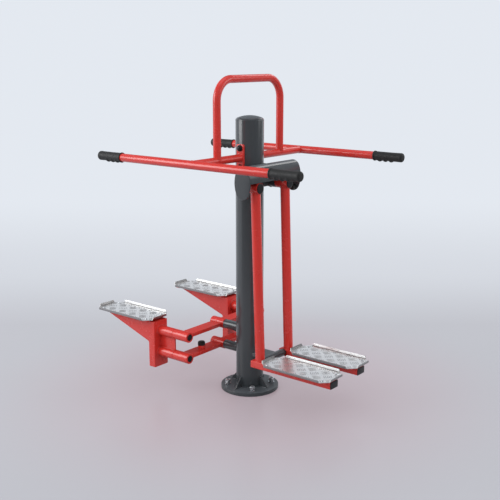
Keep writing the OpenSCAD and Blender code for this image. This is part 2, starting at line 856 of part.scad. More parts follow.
// Two sleeve bushes for each hub of a rocker; end_play widens the bore at the outer hubs
module bushes(z, end_play) {
    out_r = hub_bore_r - seat_fit;
    color(bronze) translate([0, 0, z]) {
        for (x = [mid_hub_front - bush_len, mid_hub_rear + plug_len + retainer_len])
            ring_x(x + rest_gap, x + bush_len - rest_gap, out_r, bush_bore_r);
        both_sides() translate([0, step_y, 0])
            for (x = [end_hub_rear, end_hub_front - plug_len - retainer_len - bush_len])
                ring_x(x + rest_gap, x + bush_len - rest_gap, out_r, bush_bore_r + end_play);
    }
}
module upper_bushes() bushes(upper_z, 0);
module lower_bushes() bushes(lower_z, open_fit - run_fit);

// Black plugs in the open ends of a rocker's hubs
module hub_plugs(z) {
    color(black) translate([0, 0, z]) {
        translate([mid_hub_rear, 0, 0]) mirror([1, 0, 0]) hub_plug();
        both_sides() translate([end_hub_front, step_y, 0]) hub_plug();
    }
}
module hub_plug() {
    plug_r = hub_bore_r - seat_fit;
    rod_x(-plug_len, 0, plug_r);
    rotate([0, 90, 0]) cylinder(h = plug_stand, r1 = plug_r + plug_lip, r2 = plug_r + plug_lip - plug_stand);
}
module upper_hub_plugs() hub_plugs(upper_z);
module lower_hub_plugs() hub_plugs(lower_z);

// Rubber bumps on the pads of the lower rocker
module bump_stops() {
    soft = 8;
    color(black) both_sides() translate([rocker_x, bump_y, lower_z + rocker_t / 2 + pad_h])
        rotate_extrude() intersection() {
            square([bump_d / 2, bump_h]);
            union() {
                square([bump_d / 2, bump_h - soft]);
                square([bump_d / 2 - soft, bump_h]);
                translate([bump_d / 2 - soft, bump_h - soft]) circle(r = soft);
            }
        }
}

// The upright of a step: box column, hub stubs, web, top plate, side plates and straps
module step_frame(side) {
    low_y = step_y - column_w / 2;
    high_y = step_y + column_w / 2;
    color(red) mirrored(side) difference() {
        union() {
            step_column(low_y, high_y);
            block([bracket_end, low_y, column_top - top_plate_t], [column_front, high_y, column_top]);
            for (y = [low_y, high_y - column_wall]) translate([0, y + column_wall, 0]) bracket_side();
            for (z = [lower_z, upper_z]) translate([0, step_y, z])
                rod_x(column_front - eps, stub_front, hub_d / 2);
            block([column_front - eps, step_y - web_t / 2, lower_z],
                  [stub_front, step_y + web_t / 2, upper_z]);
            straps(step_plate_x, step_y, column_top - eps);
        }
        for (z = [lower_z, upper_z]) translate([0, step_y, z])
            rod_x(column_front, stub_front + 1, pin_d / 2 + seat_fit);
    }
}

module step_column(low_y, high_y) {
    difference() {
        block([column_rear, low_y, column_z], [column_front, high_y, column_top]);
        block([column_rear + column_wall, low_y + column_wall, column_z + column_wall],
              [column_front - column_wall, high_y - column_wall, column_top - top_plate_t]);
        translate([(column_rear + column_front) / 2, step_y, column_z]) rod_z(-1, 2 * column_wall, drain_r);
    }
}

// A triangular side plate under the step, flush with the column's side
module bracket_side() {
    rotate([90, 0, 0]) linear_extrude(column_wall) polygon([
        [column_rear + eps, column_top - top_plate_t + eps], [column_rear + eps, column_top - bracket_h],
        [bracket_end + bracket_tip, column_top - top_plate_t + eps]]);
}

// Pins fixed in the stubs, each with its bolt and washer
module step_pins(side) {
    pin_end = end_hub_front - plug_len - retainer_len;
    color(zinc) mirrored(side) for (z = [lower_z, upper_z]) translate([0, step_y, z]) {
        rod_x(column_front, pin_end, pin_d / 2);
        translate([pin_end, 0, 0]) retainer();
    }
}

post();
post_cap();
base_plate();
base_gussets();
anchor_washers();
anchor_nuts();
clamp_plates();
clamp_bolts();
bolt_caps();
cross_tube(-1);  // cross_tube_near
cross_tube(1);  // cross_tube_far
top_loop();
handlebar(-1);  // near_handlebar
handlebar(1);  // far_handlebar
grip(-1, 1);  // near_front_grip
grip(-1, -1);  // near_rear_grip
grip(1, 1);  // far_front_grip
grip(1, -1);  // far_rear_grip
hood_shell();
hood_neck();
hood_end_plates();
outer_stops();
pivot_arms();
pivot_axles();
pivot_nuts();
inner_stop();
inner_stop_buffers();
step_axle_tubes();
step_axles();
leg_hub(-1);  // near_leg_hub
leg_tube(-1);  // near_leg_tube
foot_bar(-1);  // near_foot_bar
leg_bearings(-1);  // near_leg_bearings
pivot_cap(-1);  // near_pivot_cap
foot_plug(-1);  // near_foot_plug
tread_plate(foot_plate_x, -leg_y, foot_plate_z);  // near_foot_plate
plate_screws(foot_plate_x, -leg_y, foot_plate_z);  // near_foot_screws
leg_hub(1);  // far_leg_hub
leg_tube(1);  // far_leg_tube
foot_bar(1);  // far_foot_bar
leg_bearings(1);  // far_leg_bearings
pivot_cap(1);  // far_pivot_cap
foot_plug(1);  // far_foot_plug
tread_plate(foot_plate_x, leg_y, foot_plate_z);  // far_foot_plate
plate_screws(foot_plate_x, leg_y, foot_plate_z);  // far_foot_screws
upper_rocker();
upper_bushes();
upper_hub_plugs();
lower_rocker();
lower_bushes();
lower_hub_plugs();
bump_stops();
step_frame(-1);  // near_step_frame
step_pins(-1);  // near_step_pins
tread_plate(step_plate_x, -step_y, step_plate_z);  // near_step_plate
plate_screws(step_plate_x, -step_y, step_plate_z);  // near_step_screws
step_frame(1);  // far_step_frame
step_pins(1);  // far_step_pins
tread_plate(step_plate_x, step_y, step_plate_z);  // far_step_plate
plate_screws(step_plate_x, step_y, step_plate_z);  // far_step_screws
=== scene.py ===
"""Looks of a park exerciser: a leg abductor and a stepper on one post.

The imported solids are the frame. The pieces made here stand for the painted tubes and plates, the rubber
grips, the tread plates and the fasteners, with the round edges, weld seams and tread that the solids lack.
Lengths are in millimetres until a mesh is made. The near side is -Y, the abductor +X, the stepper -X.
"""

from __future__ import annotations

import json
import logging
import math
from dataclasses import dataclass, field
from enum import Enum
from typing import Sequence

import bmesh
import bpy
import numpy as np
from mathutils import Matrix, Vector

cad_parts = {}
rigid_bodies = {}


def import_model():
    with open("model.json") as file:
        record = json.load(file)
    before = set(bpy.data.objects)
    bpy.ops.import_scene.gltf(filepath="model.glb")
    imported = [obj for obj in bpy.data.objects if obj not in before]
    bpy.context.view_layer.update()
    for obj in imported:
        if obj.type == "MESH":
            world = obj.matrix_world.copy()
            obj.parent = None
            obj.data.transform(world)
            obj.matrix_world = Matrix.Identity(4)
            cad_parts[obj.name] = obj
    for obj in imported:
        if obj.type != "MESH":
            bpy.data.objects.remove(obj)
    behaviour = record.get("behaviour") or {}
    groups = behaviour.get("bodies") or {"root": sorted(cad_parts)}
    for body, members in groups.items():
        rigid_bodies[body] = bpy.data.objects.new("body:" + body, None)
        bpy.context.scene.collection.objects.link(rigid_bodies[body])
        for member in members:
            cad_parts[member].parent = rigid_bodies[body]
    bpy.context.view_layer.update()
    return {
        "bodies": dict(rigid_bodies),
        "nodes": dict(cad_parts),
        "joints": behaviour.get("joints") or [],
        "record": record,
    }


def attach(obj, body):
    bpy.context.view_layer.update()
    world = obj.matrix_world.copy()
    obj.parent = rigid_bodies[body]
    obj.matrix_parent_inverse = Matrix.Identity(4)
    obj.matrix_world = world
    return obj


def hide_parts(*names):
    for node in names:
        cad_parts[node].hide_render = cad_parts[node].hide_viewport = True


LOG = logging.getLogger("park_exerciser")
Array = np.ndarray
Numbers = Sequence[float]
Pair = tuple[float, float]
Triple = tuple[float, float, float]
Socket = bpy.types.NodeSocket

MM = 0.001
TURN = 2 * math.pi
QUARTER = math.pi / 2
SAME = 1e-6  # points this close together, in millimetres, are one point
SEAM_STEP = 0.9  # length of the spans along a weld seam
SEAM_LIFT = 0.3  # how far a round seam's middle stands off its corner
UP = (0, 0, 1)
POST_FACE = 69.9  # radius at which other pieces meet the post
LEG_Y = 117  # how far the legs' pivots are from the middle plane
LEG_PIVOT = 1070  # height of the legs' pivots
STEP_Y = 290  # how far the steps are from the middle plane
ROCKER_LEVELS = (196.5, 308.5)  # heights of the lower and the upper rocker's axle
PLATE_LIFT = 9  # height of the straps under a tread plate


class Side(Enum):
    """The two sides of the machine, by the sign of their Y."""

    NEAR = -1
    FAR = 1

    @property
    def word(self) -> str:
        """The side's name in lower case."""
        return self.name.lower()


# SHAPES


@dataclass
class Shape:
    """Closed surfaces: points in millimetres and the faces between them.

    Attributes:
        points: an (n, 3) array.
        faces: lists of point indices, in order round each face.
    """

    points: Array
    faces: list[list[int]]

    def __add__(self, other: "Shape") -> "Shape":
        """Both shapes in one."""
        start = len(self.points)
        more = [[i + start for i in face] for face in other.faces]
        return Shape(np.vstack([self.points, other.points]), self.faces + more)

    def moved(self, x: float = 0, y: float = 0, z: float = 0) -> "Shape":
        """The shape shifted along the three axes."""
        return Shape(self.points + np.array([x, y, z], float), self.faces)

    def laid(self, x_to: Numbers, y_to: Numbers, z_to: Numbers) -> "Shape":
        """The shape with its own X, Y and Z laid along three given directions."""
        return Shape(self.points @ np.array([x_to, y_to, z_to], float), self.faces)

    def along_x(self, sign: int = 1) -> "Shape":
        """The shape with its own Z laid along +X or -X."""
        return self.laid((0, sign, 0), UP, (sign, 0, 0))

    def along_y(self, sign: int = 1) -> "Shape":
        """The shape with its own Z laid along +Y or -Y."""
        return self.laid((0, 0, sign), (1, 0, 0), (0, sign, 0))

    def turned(self, degrees: float) -> "Shape":
        """The shape turned about the Z axis."""
        c, s = math.cos(math.radians(degrees)), math.sin(math.radians(degrees))
        return self.laid((c, s, 0), (-s, c, 0), UP)

    def stood_up(self) -> "Shape":
        """The shape with its own Y laid along +Z and its own Z along +Y."""
        return self.laid((1, 0, 0), UP, (0, 1, 0))

    def on(self, side: Side) -> "Shape":
        """A shape made for the far side, put on the given side."""
        if side is Side.FAR:
            return self
        return Shape(self.points * np.array([1, -1, 1.0]), [face[::-1] for face in self.faces])


def together(shapes: Sequence[Shape]) -> Shape:
    """Several shapes as one."""
    starts = np.cumsum([0] + [len(s.points) for s in shapes])
    faces = [[i + start for i in face] for s, start in zip(shapes, starts.tolist()) for face in s.faces]
    return Shape(np.vstack([s.points for s in shapes]), faces)


def both(shape: Shape) -> Shape:
    """A shape made for the far side, on both sides."""
    return shape + shape.on(Side.NEAR)


def skin(rings: Array, loop: bool = False) -> Shape:
    """Covers a row of rings with quads, so that the surface is a grid over (ring, place in the ring).

    A ring whose points all coincide becomes a pole of triangles. The other end rings are capped by a face.

    Args:
        rings: an (m, n, 3) array, each ring running anticlockwise seen from the next one.
        loop: whether the last ring joins the first.

    Returns:
        The closed surface.
    """
    m, n = rings.shape[:2]
    index = np.arange(m * n).reshape(m, n)
    low = index if loop else index[:-1]
    high = np.roll(index, -1, 0) if loop else index[1:]
    quads = np.stack([low, np.roll(low, -1, 1), np.roll(high, -1, 1), high], axis=2)
    first, last = 0, len(quads)
    faces: list[list[int]] = []
    if not loop:
        if np.ptp(rings[0], axis=0).max() < SAME:
            first = 1
            faces += [[int(index[0, 0]), c, d] for _, _, c, d in quads[0].tolist()]
        else:
            faces.append(index[0][::-1].tolist())
        if np.ptp(rings[-1], axis=0).max() < SAME:
            last -= 1
            faces += [[a, b, int(index[-1, 0])] for a, b, _, _ in quads[-1].tolist()]
        else:
            faces.append(index[-1].tolist())
    faces += quads[first:last].reshape(-1, 4).tolist()
    used = np.zeros(m * n, bool)
    used[[i for face in faces for i in face]] = True
    new = (np.cumsum(used) - 1).tolist()
    return Shape(rings.reshape(-1, 3)[used], [[new[i] for i in face] for face in faces])


def soften(corners: Sequence[Numbers], radius: float | Numbers, steps: int = 4,
           closed: bool = True) -> Array:
    """Rounds the corners of a polygon or polyline.

    Each corner becomes the curve (1-t)^2 a + 2t(1-t) p + t^2 b between the points a and b that lie `radius`
    before and after it. A corner of radius 0 stays sharp.

    Args:
        corners: the (n, 2) or (n, 3) corners.
        radius: one radius, or one for each corner.
        steps: spans along each curve.
        closed: whether the last corner joins the first.

    Returns:
        The points of the softened line.
    """
    p = np.asarray(corners, float)
    r = np.array(np.broadcast_to(radius, len(p)), float)
    if not closed:
        r[[0, -1]] = 0

    def towards(other: Array, most: float = 0.48) -> Array:
        """The point on each edge at the corner's radius, or at the most of a short edge."""
        length = np.linalg.norm(other - p, axis=1)
        share = np.minimum(r / np.maximum(length, SAME), most)
        return p + (other - p) * share[:, None]

    a, b = towards(np.roll(p, 1, 0))[:, None], towards(np.roll(p, -1, 0))[:, None]
    t = np.linspace(0, 1, steps + 1)[None, :, None]
    line = ((1 - t) ** 2 * a + 2 * t * (1 - t) * p[:, None] + t * t * b).reshape(-1, p.shape[1])
    keep = np.linalg.norm(line - np.roll(line, 1, 0), axis=1) > SAME
    keep[0] = keep[0] or not closed
    return line[keep]


def revolve(profile: Array, segments: int = 64, closed: bool = False) -> Shape:
    """Carries a profile of (radius, height) pairs round the Z axis: (r cos a, r sin a, h).

    Args:
        profile: the (m, 2) pairs, rising on the outside.
        segments: steps round the axis.
        closed: whether the profile is a closed loop, as for a tube.

    Returns:
        The surface of revolution.
    """
    angle = np.linspace(0, TURN, segments, endpoint=False)
    r, h = profile[:, :1], profile[:, 1:]
    rings = np.stack([r * np.cos(angle), r * np.sin(angle), h + 0 * angle], axis=2)
    return skin(rings, loop=closed)


def tube(low: float, high: float, radius: float, bore: float, edge: float, segments: int = 64) -> Shape:
    """A ring or tube along Z with softened rims."""
    corners = [(radius, low), (radius, high), (bore, high), (bore, low)]
    return revolve(soften(corners, edge, 3), segments, closed=True)


def knob(low: float, high: float, radius: float, edge: float, top_edge: float | None = None) -> Shape:
    """A solid disc or stud along Z.

    Args:
        low: height of its lower face.
        high: height of its upper face.
        radius: its radius.
        edge: radius of both edges, or of the lower one where top_edge is given.
        top_edge: radius of the upper edge.

    Returns:
        The stud.
    """
    corners = [(0, low), (radius, low), (radius, high), (0, high)]
    radii = [0, edge, edge if top_edge is None else top_edge, 0]
    return revolve(soften(corners, radii, 6, closed=False), 48)


def dome(radius: float, rise: float, base: float, foot: float = 0.4) -> Shape:
    """A spherical cap over a disc at height 0, on a rim that is `base` high and turned in at its foot.

    The sphere's radius is (radius^2 + rise^2) / (2 rise), and the cap is its part above the rim.

    Args:
        radius: radius of the disc.
        rise: height of the cap above the rim.
        base: height of the rim.
        foot: how far the rim is turned in at its foot.

    Returns:
        The closed dome.
    """
    ball = (radius**2 + rise**2) / (2 * rise)
    angle = np.linspace(math.asin(min(1, radius / ball)), 0, 10)
    cap = np.stack([ball * np.sin(angle), base + rise - ball + ball * np.cos(angle)], axis=1)
    return revolve(np.vstack([[0, 0], [radius - foot, 0], [radius, foot], cap]), 48)


def slab(outline: Array, low: float, high: float, edge: float = 1.0, low_edge: float | None = None,
         steps: int = 3) -> Shape:
    """Raises an outline from one height to another and rounds its two edges.

    At each level the outline is moved inwards along its own corner normals by edge (1 - sin t), while the
    height follows edge (1 - cos t), with t from 0 to a right angle.

    Args:
        outline: the (n, 2) anticlockwise outline.
        low: height of the lower face.
        high: height of the upper face.
        edge: radius of the upper edge, and of the lower one too where low_edge isn't given.
        low_edge: radius of the lower edge.
        steps: spans along each round.

    Returns:
        The closed plate.
    """
    p = np.asarray(outline, float)
    ahead = np.roll(p, -1, 0) - p
    ahead /= np.linalg.norm(ahead, axis=1)[:, None]
    behind = np.roll(ahead, 1, 0)
    inward = np.stack([-(ahead + behind)[:, 1], (ahead + behind)[:, 0]], axis=1)
    inward *= 2 / np.maximum(np.sum((ahead + behind) ** 2, axis=1), 0.3)[:, None]
    t = np.linspace(0, QUARTER, steps + 1)
    under = edge if low_edge is None else low_edge
    inset = np.concatenate([under * (1 - np.sin(t)), edge * (1 - np.sin(t))[::-1]])
    height = np.concatenate([low + under * (1 - np.cos(t)), high - edge * (1 - np.cos(t))[::-1]])
    keep = np.concatenate([[True], (np.abs(np.diff(inset)) + np.abs(np.diff(height))) > SAME])
    flat = p[None] + inset[keep][:, None, None] * inward[None]
    levels = np.broadcast_to(height[keep][:, None, None], flat.shape[:2] + (1,))
    return skin(np.concatenate([flat, levels], axis=2))


def box(low: Numbers, high: Numbers, edge: float, upright: float | None = None) -> Shape:
    """A block with round edges.

    Args:
        low: its lowest corner.
        high: its highest corner.
        edge: radius of its edges.
        upright: radius of the upright edges, where it isn't the same.

    Returns:
        The block.
    """
    (x0, y0, z0), (x1, y1, z1) = low, high
    outline = soften([(x0, y0), (x1, y0), (x1, y1), (x0, y1)], edge if upright is None else upright, 4)
    return slab(outline, z0, z1, edge)


def bar(low: Numbers, high: Numbers, corner: float, edge: float) -> Shape:
    """A square bar along X.

    Args:
        low: its lowest corner.
        high: its highest corner.
        corner: radius of the long edges.
        edge: radius of the edges round its ends.

    Returns:
        The bar.
    """
    (x0, y0, z0), (x1, y1, z1) = low, high
    outline = soften([(y0, z0), (y1, z0), (y1, z1), (y0, z1)], corner, 4)
    return slab(outline, x0, x1, edge).along_x()


def carried(section: Array, path: Array, across: Numbers) -> Array:
    """Rings of a section carried along a flat path.

    At each path point with tangent t and the plane's normal b, the section's (u, v) goes to u b + v (t x b).

    Args:
        section: the (n, 2) points of the section.
        path: the (m, 3) points of the path.
        across: the normal of the path's plane.

    Returns:
        The (m, n, 3) rings.
    """
    t = np.gradient(path, axis=0)
    t /= np.linalg.norm(t, axis=1)[:, None]
    b = np.asarray(across, float)
    side = np.cross(t, b)
    return path[:, None] + section[None, :, :1] * b + section[None, :, 1:] * side[:, None]


def circle(radius: float, count: int) -> Array:
    """Points round a circle, anticlockwise from its first axis."""
    a = np.linspace(0, TURN, count, endpoint=False)
    return radius * np.stack([np.cos(a), np.sin(a)], axis=1)


def bead(path: Array, outward: Array, size: float, closed: bool = True, drop: float = 3.4,
         swell: float = 0.1) -> Shape:
    """A weld seam: a round bead whose radius swells and shrinks along its path like overlapping drops.

    The radius at arc length s is size (1 - swell + swell |sin(pi s / drop)|). Open seams taper at the ends.

    Args:
        path: the (n, 3) line of the seam.
        outward: an (n, 3) direction at each point that isn't along the path.
        size: largest radius of the bead.
        closed: whether the seam closes on itself.
        drop: length of one drop.
        swell: the share of the radius that comes and goes.

    Returns:
        The bead, half sunk in what it joins.
    """
    if closed:
        t = np.roll(path, -1, 0) - np.roll(path, 1, 0)
    else:
        t = np.gradient(path, axis=0)
    t /= np.linalg.norm(t, axis=1)[:, None]
    u = outward - np.sum(outward * t, axis=1)[:, None] * t
    u /= np.linalg.norm(u, axis=1)[:, None]
    v = np.cross(t, u)
    s = np.concatenate([[0], np.cumsum(np.linalg.norm(np.diff(path, axis=0), axis=1))])
    radius = size * (1 - swell + swell * np.abs(np.sin(math.pi * s / drop)))
    if not closed:
        radius = radius * np.clip(np.minimum(s, s[-1] - s) / size, 0.02, 1) ** 0.5
    ring = circle(1, 8)[None]
    around = ring[..., :1] * u[:, None] + ring[..., 1:] * v[:, None]
    return skin(path[:, None] + radius[:, None, None] * around, loop=closed)


def round_seam(radius: float, size: float) -> Shape:
    """A weld seam round a tube that stands on a flat face at height 0.

    Args:
        radius: the tube's radius.
        size: radius of the bead.

    Returns:
        The closed bead.
    """
    count = max(48, int(TURN * radius / SEAM_STEP))
    a = np.linspace(0, TURN, count, endpoint=False)
    out = np.stack([np.cos(a), np.sin(a), 0 * a], axis=1)
    return bead(out * (radius + SEAM_LIFT) + np.array([0, 0, SEAM_LIFT]), out, size)


def straight_seam(start: Numbers, end: Numbers, outward: Numbers, size: float = 2.4) -> Shape:
    """A weld seam along a straight corner.

    Args:
        start: where it starts.
        end: where it ends.
        outward: a direction away from the corner.
        size: radius of the bead.

    Returns:
        The bead, with tapered ends.
    """
    a, b = np.asarray(start, float), np.asarray(end, float)
    count = max(6, int(np.linalg.norm(b - a) / SEAM_STEP))
    path = a + (b - a) * np.linspace(0, 1, count)[:, None]
    return bead(path, np.broadcast_to(np.asarray(outward, float), path.shape), size, closed=False)


def hex_nut(flats: float, height: float, bore: float) -> Shape:
    """A nut along Z, its six corners turned down by a cone at both ends and its bore's mouths widened.

    The radius at angle a is the hexagon's flats / (2 cos(a mod 60 - 30)). It is cut to the cone's, which is
    face + slope times the distance to the nearer end.

    Args:
        flats: width over two flats.
        height: the nut's height.
        bore: radius of its bore.

    Returns:
        The nut, standing on height 0.
    """
    face, slope, mouth = 0.45 * flats, 1.7, 0.8
    a = np.linspace(0, TURN, 72, endpoint=False)
    reach = flats / 2 / np.cos((a % (TURN / 6)) - TURN / 12)
    z = np.concatenate([np.linspace(0, 0.3, 5), np.linspace(0.7, 1, 5)]) * height
    cone = face + slope * np.minimum(z, height - z)
    outside = np.minimum(cone[:, None], reach[None])
    inside = np.array([bore + mouth, bore, bore, bore + mouth])[:, None] + 0 * a
    r = np.vstack([outside, inside])
    level = np.concatenate([z, [height, height - mouth, mouth, 0]])[:, None] + 0 * a
    return skin(np.stack([r * np.cos(a), r * np.sin(a), level], axis=2), loop=True)


# FINISHES


class Wiring:
    """A node tree and a short way to add nodes to it."""

    def __init__(self, tree: bpy.types.NodeTree) -> None:
        """Keeps the tree."""
        self.tree = tree

    def node(self, kind: str, inputs: dict | None = None, **settings: object) -> bpy.types.Node:
        """Adds a node.

        Args:
            kind: the node's type.
            inputs: values for its inputs by name or number. A socket is linked.
            **settings: values for its properties.

        Returns:
            The node.
        """
        made = self.tree.nodes.new(kind)
        for key, value in settings.items():
            setattr(made, key, value)
        for key, value in (inputs or {}).items():
            if isinstance(value, Socket):
                self.tree.links.new(value, made.inputs[key])
            else:
                made.inputs[key].default_value = value
        return made

    def math(self, operation: str, first: object, second: object) -> Socket:
        """The result of a sum on two sockets or numbers, kept within 0 and 1."""
        values = {0: first, 1: second}
        return self.node("ShaderNodeMath", values, operation=operation, use_clamp=True).outputs[0]

    def larger(self, first: object, second: object) -> Socket:
        """The larger of two sockets or numbers."""
        return self.math("MAXIMUM", first, second)

    def times(self, first: object, second: object) -> Socket:
        """The product of two sockets or numbers."""
        return self.math("MULTIPLY", first, second)

    def ramp(self, value: Socket, start: float, end: float) -> Socket:
        """A smooth step of a value, 0 at start and 1 at end."""
        values = {"Value": value, "From Min": start, "From Max": end}
        return self.node("ShaderNodeMapRange", values, interpolation_type="SMOOTHSTEP").outputs["Result"]

    def along(self, vector: Socket, way: Numbers) -> Socket:
        """How far a vector reaches along a direction."""
        values = {0: vector, 1: tuple(way)}
        return self.node("ShaderNodeVectorMath", values, operation="DOT_PRODUCT").outputs["Value"]

    def tint(self, factor: Socket, low: object, high: object) -> Socket:
        """A colour between two colours, each a triple or a socket."""
        values = {i: c if isinstance(c, Socket) else (*c, 1) for i, c in ((6, low), (7, high))}
        return self.node("ShaderNodeMix", {0: factor, **values}, data_type="RGBA").outputs[2]


class NodeBench(Wiring):
    """A material and a short way to wire its nodes."""

    def __init__(self, name: str) -> None:
        """Makes a material that holds only its output and a surface shader."""
        self.material = bpy.data.materials.new(name)
        self.material.use_nodes = True
        super().__init__(self.material.node_tree)
        self.shader = self.tree.nodes["Principled BSDF"]
        coordinates = self.node("ShaderNodeTexCoord").outputs
        self.place, self.normal = coordinates["Object"], coordinates["Normal"]

    def noise(self, scale: float, detail: float = 2.0, stretch: Numbers = (1, 1, 1)) -> Socket:
        """Soft noise on the piece's own coordinates.

        Args:
            scale: features to the metre.
            detail: how many finer layers it has.
            stretch: scales of the three axes, less than 1 where features are drawn out.

        Returns:
            The noise, mostly between 0.3 and 0.7.
        """
        place = self.node("ShaderNodeMapping", {"Vector": self.place, "Scale": stretch}).outputs[0]
        values = {"Vector": place, "Scale": scale, "Detail": detail}
        return self.node("ShaderNodeTexNoise", values).outputs["Fac"]

    def cloudy(self, colour: Triple, cloud: Socket, shades: Pair) -> Socket:
        """A colour that wanders between two shades of itself with a noise."""
        low, high = shades
        return self.tint(cloud, shade(colour, low), shade(colour, high))

    def between(self, factor: Socket, low: float, high: float, start: float = 0.3,
                end: float = 0.7) -> Socket:
        """A value from start to end spread over low to high."""
        values = {"Value": factor, "From Min": start, "From Max": end, "To Min": low, "To Max": high}
        return self.node("ShaderNodeMapRange", values).outputs["Result"]

    def bump(self, height: Socket, depth: float) -> None:
        """Dents the surface by a height whose full range is `depth` metres."""
        values = {"Height": height, "Distance": depth, "Strength": 1.0}
        self.wire("Normal", self.node("ShaderNodeBump", values).outputs["Normal"])

    def wire(self, socket: str, source: Socket) -> None:
        """Links a socket of the surface shader."""
        self.tree.links.new(source, self.shader.inputs[socket])

    def steady(self, **values: object) -> None:
        """Sets constants on the shader's own sockets, named with _ for a space."""
        for key, value in values.items():
            self.shader.inputs[key.replace("_", " ")].default_value = value


def shade(colour: Numbers, factor: float) -> tuple[float, ...]:
    """A colour made lighter or darker."""
    return tuple(min(1.0, c * factor) for c in colour)


@dataclass(frozen=True)
class PowderCoat:
    """Baked powder paint: an even colour with a faint cloudiness and the fine dimples of orange peel.

    Faces that look up are dull with dust, which takes their clear coat away. Their colour is scaled by dust
    and painted top light or shade: lighter on the grey paint, darker on the red.

    Attributes:
        name: the material slot.
        colour: the clean paint.
        gloss: the lowest and highest roughness of clean paint.
        dust: what dust and painted top light or shade scale the colour of upward faces by.
        shades: the shades of the colour that the clouds wander between.
        level: the upward parts of the normal where dust and the painted top light or shade begin and lie full.
        dull: what dust adds to the roughness.
        shine: the reflection of clean paint and of paint on upward faces.
        coat: weight of the clear coat.
        coat_gloss: its roughness.
        peel: depth of the dimples in metres.
    """

    name: str
    colour: Triple
    gloss: Pair
    dust: float
    shades: Pair = (0.93, 1.06)
    level: Pair = (0.82, 0.97)
    dull: float = 0.22
    shine: Pair = (0.5, 0.12)
    coat: float = 0.4
    coat_gloss: float = 0.14
    peel: float = 0.0000015

    def material(self) -> bpy.types.Material:
        """Builds the paint."""
        bench = NodeBench(self.name)
        clean = bench.cloudy(self.colour, bench.noise(scale=7, detail=3), self.shades)
        up = bench.along(bench.normal, UP)
        upward_dust_and_shading, bare = bench.ramp(up, *self.level), bench.ramp(up, *self.level[::-1])
        # Upward faces: dust, and painted top light or shade scaling the colour.
        bench.wire("Base Color", bench.tint(upward_dust_and_shading, clean, shade(self.colour, self.dust)))
        gloss = bench.between(bench.noise(scale=25, detail=3), *self.gloss)
        bench.wire("Roughness", bench.math("ADD", gloss, bench.times(upward_dust_and_shading, self.dull)))
        bench.wire("Coat Weight", bench.times(bare, self.coat))
        bench.wire("Specular IOR Level", bench.between(upward_dust_and_shading, *self.shine, start=0.0, end=1.0))
        bench.bump(bench.noise(scale=520, detail=1.5), self.peel)
        bench.steady(Coat_Roughness=self.coat_gloss)
        return bench.material


@dataclass(frozen=True)
class Moulded:
    """Rubber or plastic from a mould: a dull skin with `pores` dents to the metre, `depth` metres deep."""

    name: str
    colour: Triple
    gloss: Pair
    pores: float
    depth: float
    shades: Pair = (0.82, 1.2)

    def material(self) -> bpy.types.Material:
        """Builds the moulded skin."""
        bench = NodeBench(self.name)
        bench.wire("Base Color", bench.cloudy(self.colour, bench.noise(scale=25, detail=4), self.shades))
        bench.wire("Roughness", bench.between(bench.noise(scale=90), *self.gloss))
        bench.bump(bench.noise(scale=self.pores), self.depth)
        return bench.material


@dataclass(frozen=True)
class BareMetal:
    """Metal with fine marks along one direction, from rolling, brushing or plating.

    Attributes:
        name: the material slot.
        colour: the clean metal.
        gloss: its lowest and highest roughness.
        grain: how the marks are stretched, less than 1 along them.
        depth: their depth in metres.
        grime: what painted shade on bar flanks, bends and downward faces scales the colour by, 1 for none.
        shades: the shades of the colour that its blotches wander between.
    """

    name: str
    colour: Triple
    gloss: Pair
    grain: Triple
    depth: float
    grime: float = 1.0
    shades: Pair = (0.9, 1.05)

    def material(self) -> bpy.types.Material:
        """Builds the metal."""
        bench = NodeBench(self.name)
        streaks = bench.noise(scale=120, detail=3, stretch=self.grain)
        colour = bench.cloudy(self.colour, bench.noise(scale=35, detail=3), self.shades)
        # Painted shade: the colour darkened on bar flanks, bends and downward faces.
        if self.grime < 1:
            colour = bench.tint(self.dirt(bench), colour, shade(self.colour, self.grime))
        bench.wire("Base Color", colour)
        bench.wire("Roughness", bench.between(streaks, *self.gloss))
        bench.bump(streaks, self.depth)
        bench.steady(Metallic=1.0)
        return bench.material

    @staticmethod
    def dirt(bench: NodeBench) -> Socket:
        """Where shade is painted on a tread plate, from 0 to 1, worked out from the normal.

        It is full where the normal tilts across the plate's bars, as on their flanks, and looks up by more
        than 0.28 to 0.42. It is 0.7 on what looks down, which is the outside of the bent rims.

        Args:
            bench: the material that is being made.

        Returns:
            The share of painted shade.
        """
        start, full, under = 0.04, 0.22, 0.7
        up, aslant = bench.along(bench.normal, UP), bench.along(bench.normal, (0.707, 0.707, 0))
        tilted = bench.larger(bench.ramp(aslant, start, full), bench.ramp(aslant, -start, -full))
        flank = bench.times(tilted, bench.ramp(up, 0.28, 0.42))
        return bench.larger(flank, bench.times(bench.ramp(up, -0.05, -full), under))


